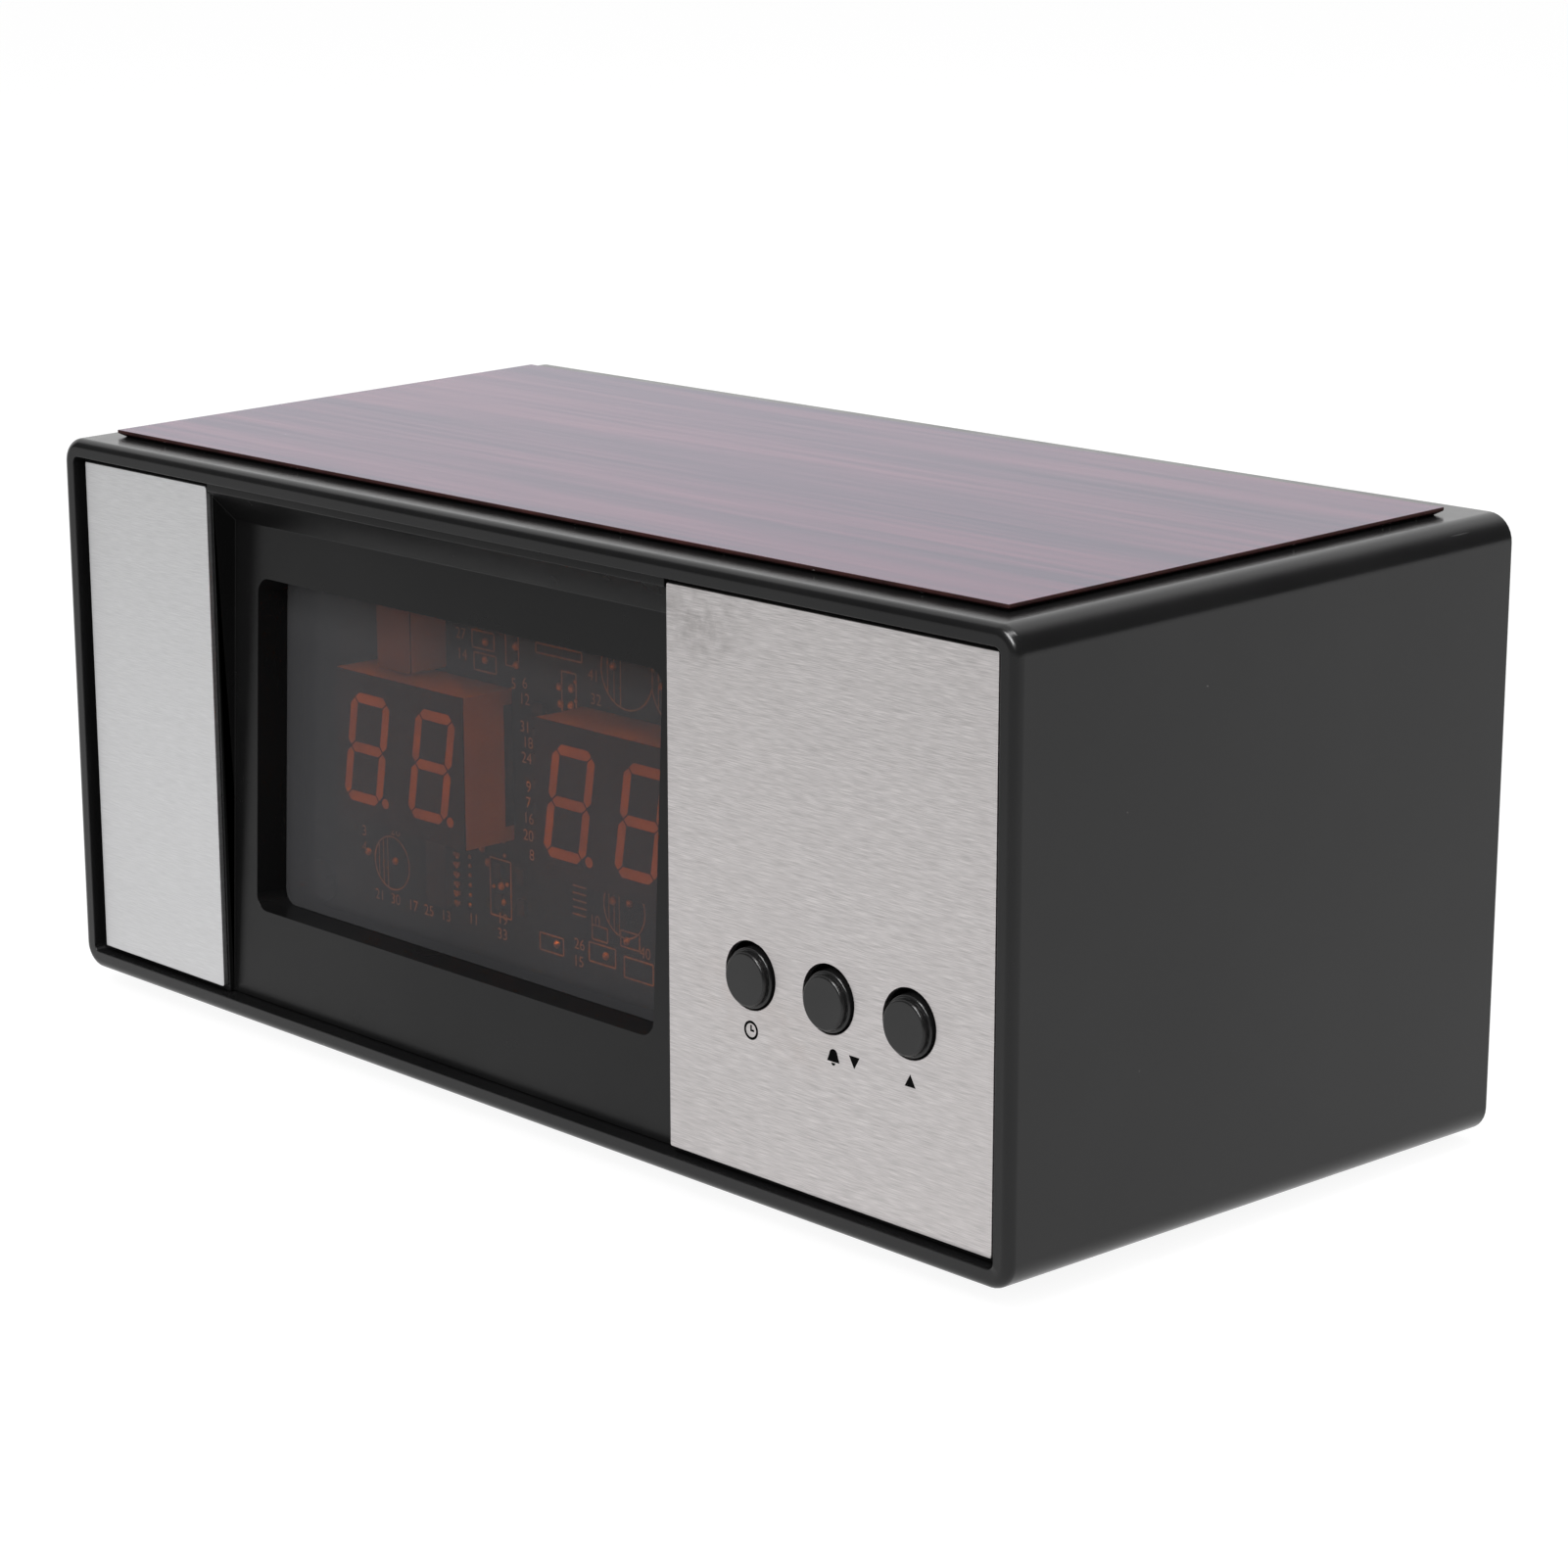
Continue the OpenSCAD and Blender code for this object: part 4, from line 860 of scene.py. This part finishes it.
def makeJoints():
    points = bpy.data.meshes.new("jointPoints")
    spots = [(x, z, 1.0) for x, z in jointSet["joints"]]
    spots += [(x, z, jointSet["dotShare"]) for x, z in jointSet["dots"]]
    points.from_pydata([(boardX + x * mm, boardFront, boardZ + z * mm) for x, z, share in spots], [], [])
    sizes = points.attributes.new("jointSize", "FLOAT", "POINT")
    sizes.data.foreach_set("value", [share for x, z, share in spots])
    piece = placeObject("solderJoints", points)
    tree = jointTree()
    domes = piece.modifiers.new("joints", "NODES")
    domes.node_group = tree
    values = {"Joint Radius": jointSet["radius"] * mm, "Joint Height": jointSet["height"] * mm, "Finish": solder}
    for item in tree.interface.items_tree:
        if item.in_out == "INPUT" and item.name in values:
            domes[item.identifier] = values[item.name]
    mesh = bakedMesh(piece)
    piece.modifiers.clear()
    piece.data = mesh
    mesh.shade_smooth()
    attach(piece, "clock")
    return piece


def numberMesh(text, size):
    letters = bpy.data.curves.new("number", "FONT")
    letters.body = text
    letters.size = size
    letters.align_x = "CENTER"
    letters.align_y = "CENTER"
    holder = placeObject("number", letters)
    mesh = bakedMesh(holder)
    bpy.data.objects.remove(holder)
    bpy.data.curves.remove(letters)
    return mesh


def makeBoardPrint():
    y, rise, line = boardFront, printSet["rise"] * mm, printSet["line"] * mm
    work = bmesh.new()
    for x, z, radius in printSet["circles"]:
        cx, cz = onBoard(x, z)
        ringStrip(work, cx, cz, radius * mm, line, y, rise)
        # the left half is hatched
        for place in printSet["hatches"]:
            off = radius * place
            reach = math.sqrt(radius ** 2 - off ** 2) * mm
            at = cx + off * mm
            stroke(work, (at, cz - reach), (at, cz + reach), line * printSet["hatchShare"], y, rise)
    for x, z, wide, high in printSet["boxes"]:
        cx, cz = onBoard(x, z)
        w, h = wide / 2 * mm, high / 2 * mm
        corners = [(cx - w, cz - h), (cx + w, cz - h), (cx + w, cz + h), (cx - w, cz + h)]
        for i in range(4):
            stroke(work, corners[i], corners[(i + 1) % 4], line, y, rise)
    for x, z in printSet["dashes"]:
        stroke(work, onBoard(x, z), onBoard(x + printSet["dash"], z), line, y, rise)
    upright = Matrix.Rotation(math.radians(90), 4, "X")
    for text, x, z in printSet["numbers"]:
        cx, cz = onBoard(x, z)
        mesh = numberMesh(text, printSet["digit"] * mm)
        mesh.transform(Matrix.Translation((cx, y - rise, cz)) @ upright)
        work.from_mesh(mesh)
        bpy.data.meshes.remove(mesh)
    return addPiece("boardPrint", meshFrom(work, "boardPrint", boardInk), "clock")


makeJoints()
makeBoardPrint()
print("board dressed")


# floor and sky

stageSet = {
    "size": 16.0, "tone": (0.86, 0.86, 0.86), "rough": 0.9, "shine": 0.1, "white": 1.12, "share": 0.8,
    "from": -0.30, "to": -0.05, "far": 0.5, "near": 1.0,
}
skySet = {
    "tone": (1.0, 1.0, 1.0), "fill": 0.5, "low": 1.2, "high": 0.08, "from": 0.5, "to": 1.9, "slant": 4.0,
    "front": -0.30, "back": -0.20, "frontShare": 0.06,
}


def seenDirectly(tree):
    # 1 for rays from the camera, from a mirror-like surface or through glass
    path = addNode(tree, "ShaderNodeLightPath").outputs
    glossy = compute(tree, "MAXIMUM", path["Is Camera Ray"], path["Is Glossy Ray"])
    return compute(tree, "MAXIMUM", glossy, path["Is Transmission Ray"])


def makeFloor():
    half = stageSet["size"] / 2
    corners = [(-half, -half, 0), (half, -half, 0), (half, half, 0), (-half, half, 0)]
    mesh = bpy.data.meshes.new("floor")
    mesh.from_pydata(corners, [], [(0, 1, 2, 3)])
    floor = placeObject("floor", mesh)
    material, tree, shader = newMaterial("floorPaper")
    setInputs(tree, shader, {"Base Color": (*stageSet["tone"], 1), "Roughness": stageSet["rough"],
                             "Specular IOR Level": stageSet["shine"]})
    # in mirror-like surfaces the paper looks darker towards the front
    fall = mapRange(tree, axes(tree)["Y"], stageSet["from"], stageSet["to"], stageSet["far"], stageSet["near"])
    glossy = addNode(tree, "ShaderNodeLightPath").outputs["Is Glossy Ray"]
    strength = compute(tree, "MULTIPLY", mapRange(tree, glossy, 0, 1, 1, fall), stageSet["white"])
    glow = addNode(tree, "ShaderNodeEmission", {"Strength": strength})
    share = compute(tree, "MULTIPLY", seenDirectly(tree), stageSet["share"])
    blendSurface(tree, share, shader.outputs["BSDF"], glow.outputs["Emission"])
    mesh.materials.append(material)
    # soft light from below comes from the sky's even fill, which has less noise than the floor's bounce
    floor.visible_diffuse = False
    floor.visible_shadow = False


def makeSky():
    world = bpy.data.worlds.new("studio")
    bpy.context.scene.world = world
    world.use_nodes = True
    tree = world.node_tree
    tree.nodes.clear()
    # white on the left and behind, dim on the right, as a room with its white backdrop on one side
    way = addNode(tree, "ShaderNodeTexCoord").outputs["Generated"]
    parts = addNode(tree, "ShaderNodeSeparateXYZ", {"Vector": way}).outputs
    height = compute(tree, "ADD", parts["Z"], compute(tree, "MULTIPLY", parts["X"], skySet["slant"]))
    room = mapRange(tree, height, skySet["from"], skySet["to"], skySet["low"], skySet["high"])
    # and dim on the photographer's side
    front = mapRange(tree, parts["Y"], skySet["front"], skySet["back"], skySet["frontShare"], 1)
    room = compute(tree, "MULTIPLY", room, front)
    strength = mapRange(tree, seenDirectly(tree), 0, 1, skySet["fill"], room)
    sky = addNode(tree, "ShaderNodeBackground", {"Color": (*skySet["tone"], 1), "Strength": strength})
    addNode(tree, "ShaderNodeOutputWorld", {"Surface": sky.outputs["Background"]})


# lamps: a mirrored one shows in glossy surfaces, and one that isn't soft shows only there

lampAim = (0, 0, 0.04)
lampSet = [
    {"name": "overheadSoftbox", "at": (0.05, -0.05, 1.3), "size": (1.5, 1.2), "power": 4.6},
    {"name": "sideSoftbox", "at": (1.3, 0.35, 0.75), "size": (1.0, 0.9), "power": 6.0},
    {"name": "frontSoftbox", "at": (0.0, -1.4, 0.55), "size": (0.9, 0.6), "power": 7.0},
    {"name": "leftStrip", "at": (0.22, -0.85, 0.9), "size": (0.06, 0.8), "power": 3.0, "mirrored": True, "turn": 44},
    {"name": "rightStrip", "at": (0.42, -0.80, 0.9), "size": (0.06, 0.8), "power": 3.0, "mirrored": True, "turn": 44},
    {"name": "overheadStrip", "at": (0.3, -0.04, 1.1), "size": (1.2, 0.05), "power": 1.5, "mirrored": True},
    {"name": "arcSoftbox", "at": (0.32, -0.83, 0.9), "size": (0.3, 0.9), "power": 17.0, "mirrored": True, "turn": 44,
     "soft": False},
    {"name": "overheadArc", "at": (0.3, -0.04, 1.1), "size": (1.2, 0.2), "power": 11.0, "mirrored": True,
     "soft": False},
]


def makeLamps():
    for spec in lampSet:
        lamp = bpy.data.lights.new(spec["name"], "AREA")
        lamp.shape = "RECTANGLE"
        lamp.size, lamp.size_y = spec["size"]
        lamp.energy = spec["power"]
        holder = placeObject(spec["name"], lamp)
        holder.location = spec["at"]
        holder.visible_glossy = spec.get("mirrored", False)
        holder.visible_diffuse = spec.get("soft", True)
        aim = Vector(lampAim) - Vector(spec["at"])
        turn = Matrix.Rotation(math.radians(spec.get("turn", 0)), 3, "Z")
        holder.rotation_euler = (aim.to_track_quat("-Z", "Y").to_matrix() @ turn).to_euler()


# camera at the photograph's place

cameraSet = {
    "at": (0.34249, -0.32367, 0.15478), "azimuth": 45.906, "elevation": 14.227, "roll": -0.033, "lens": 90.282,
    "sensor": 36.0, "near": 0.01, "far": 50,
}


def makeCamera():
    lens = bpy.data.cameras.new("photoCamera")
    lens.lens = cameraSet["lens"]
    lens.sensor_width = cameraSet["sensor"]
    lens.clip_start, lens.clip_end = cameraSet["near"], cameraSet["far"]
    holder = placeObject("photoCamera", lens)
    a, e = math.radians(cameraSet["azimuth"]), math.radians(cameraSet["elevation"])
    back = Vector((math.sin(a) * math.cos(e), -math.cos(a) * math.cos(e), math.sin(e)))
    right = Vector((math.cos(a), math.sin(a), 0))
    up = back.cross(right)
    roll = Matrix.Rotation(math.radians(cameraSet["roll"]), 3, "Z")
    turn = Matrix((right, up, back)).transposed() @ roll
    holder.matrix_world = Matrix.Translation(cameraSet["at"]) @ turn.to_4x4()
    bpy.context.scene.camera = holder


makeFloor()
makeSky()
makeLamps()
makeCamera()
bpy.context.scene.view_settings.view_transform = "Standard"
print("stage set")
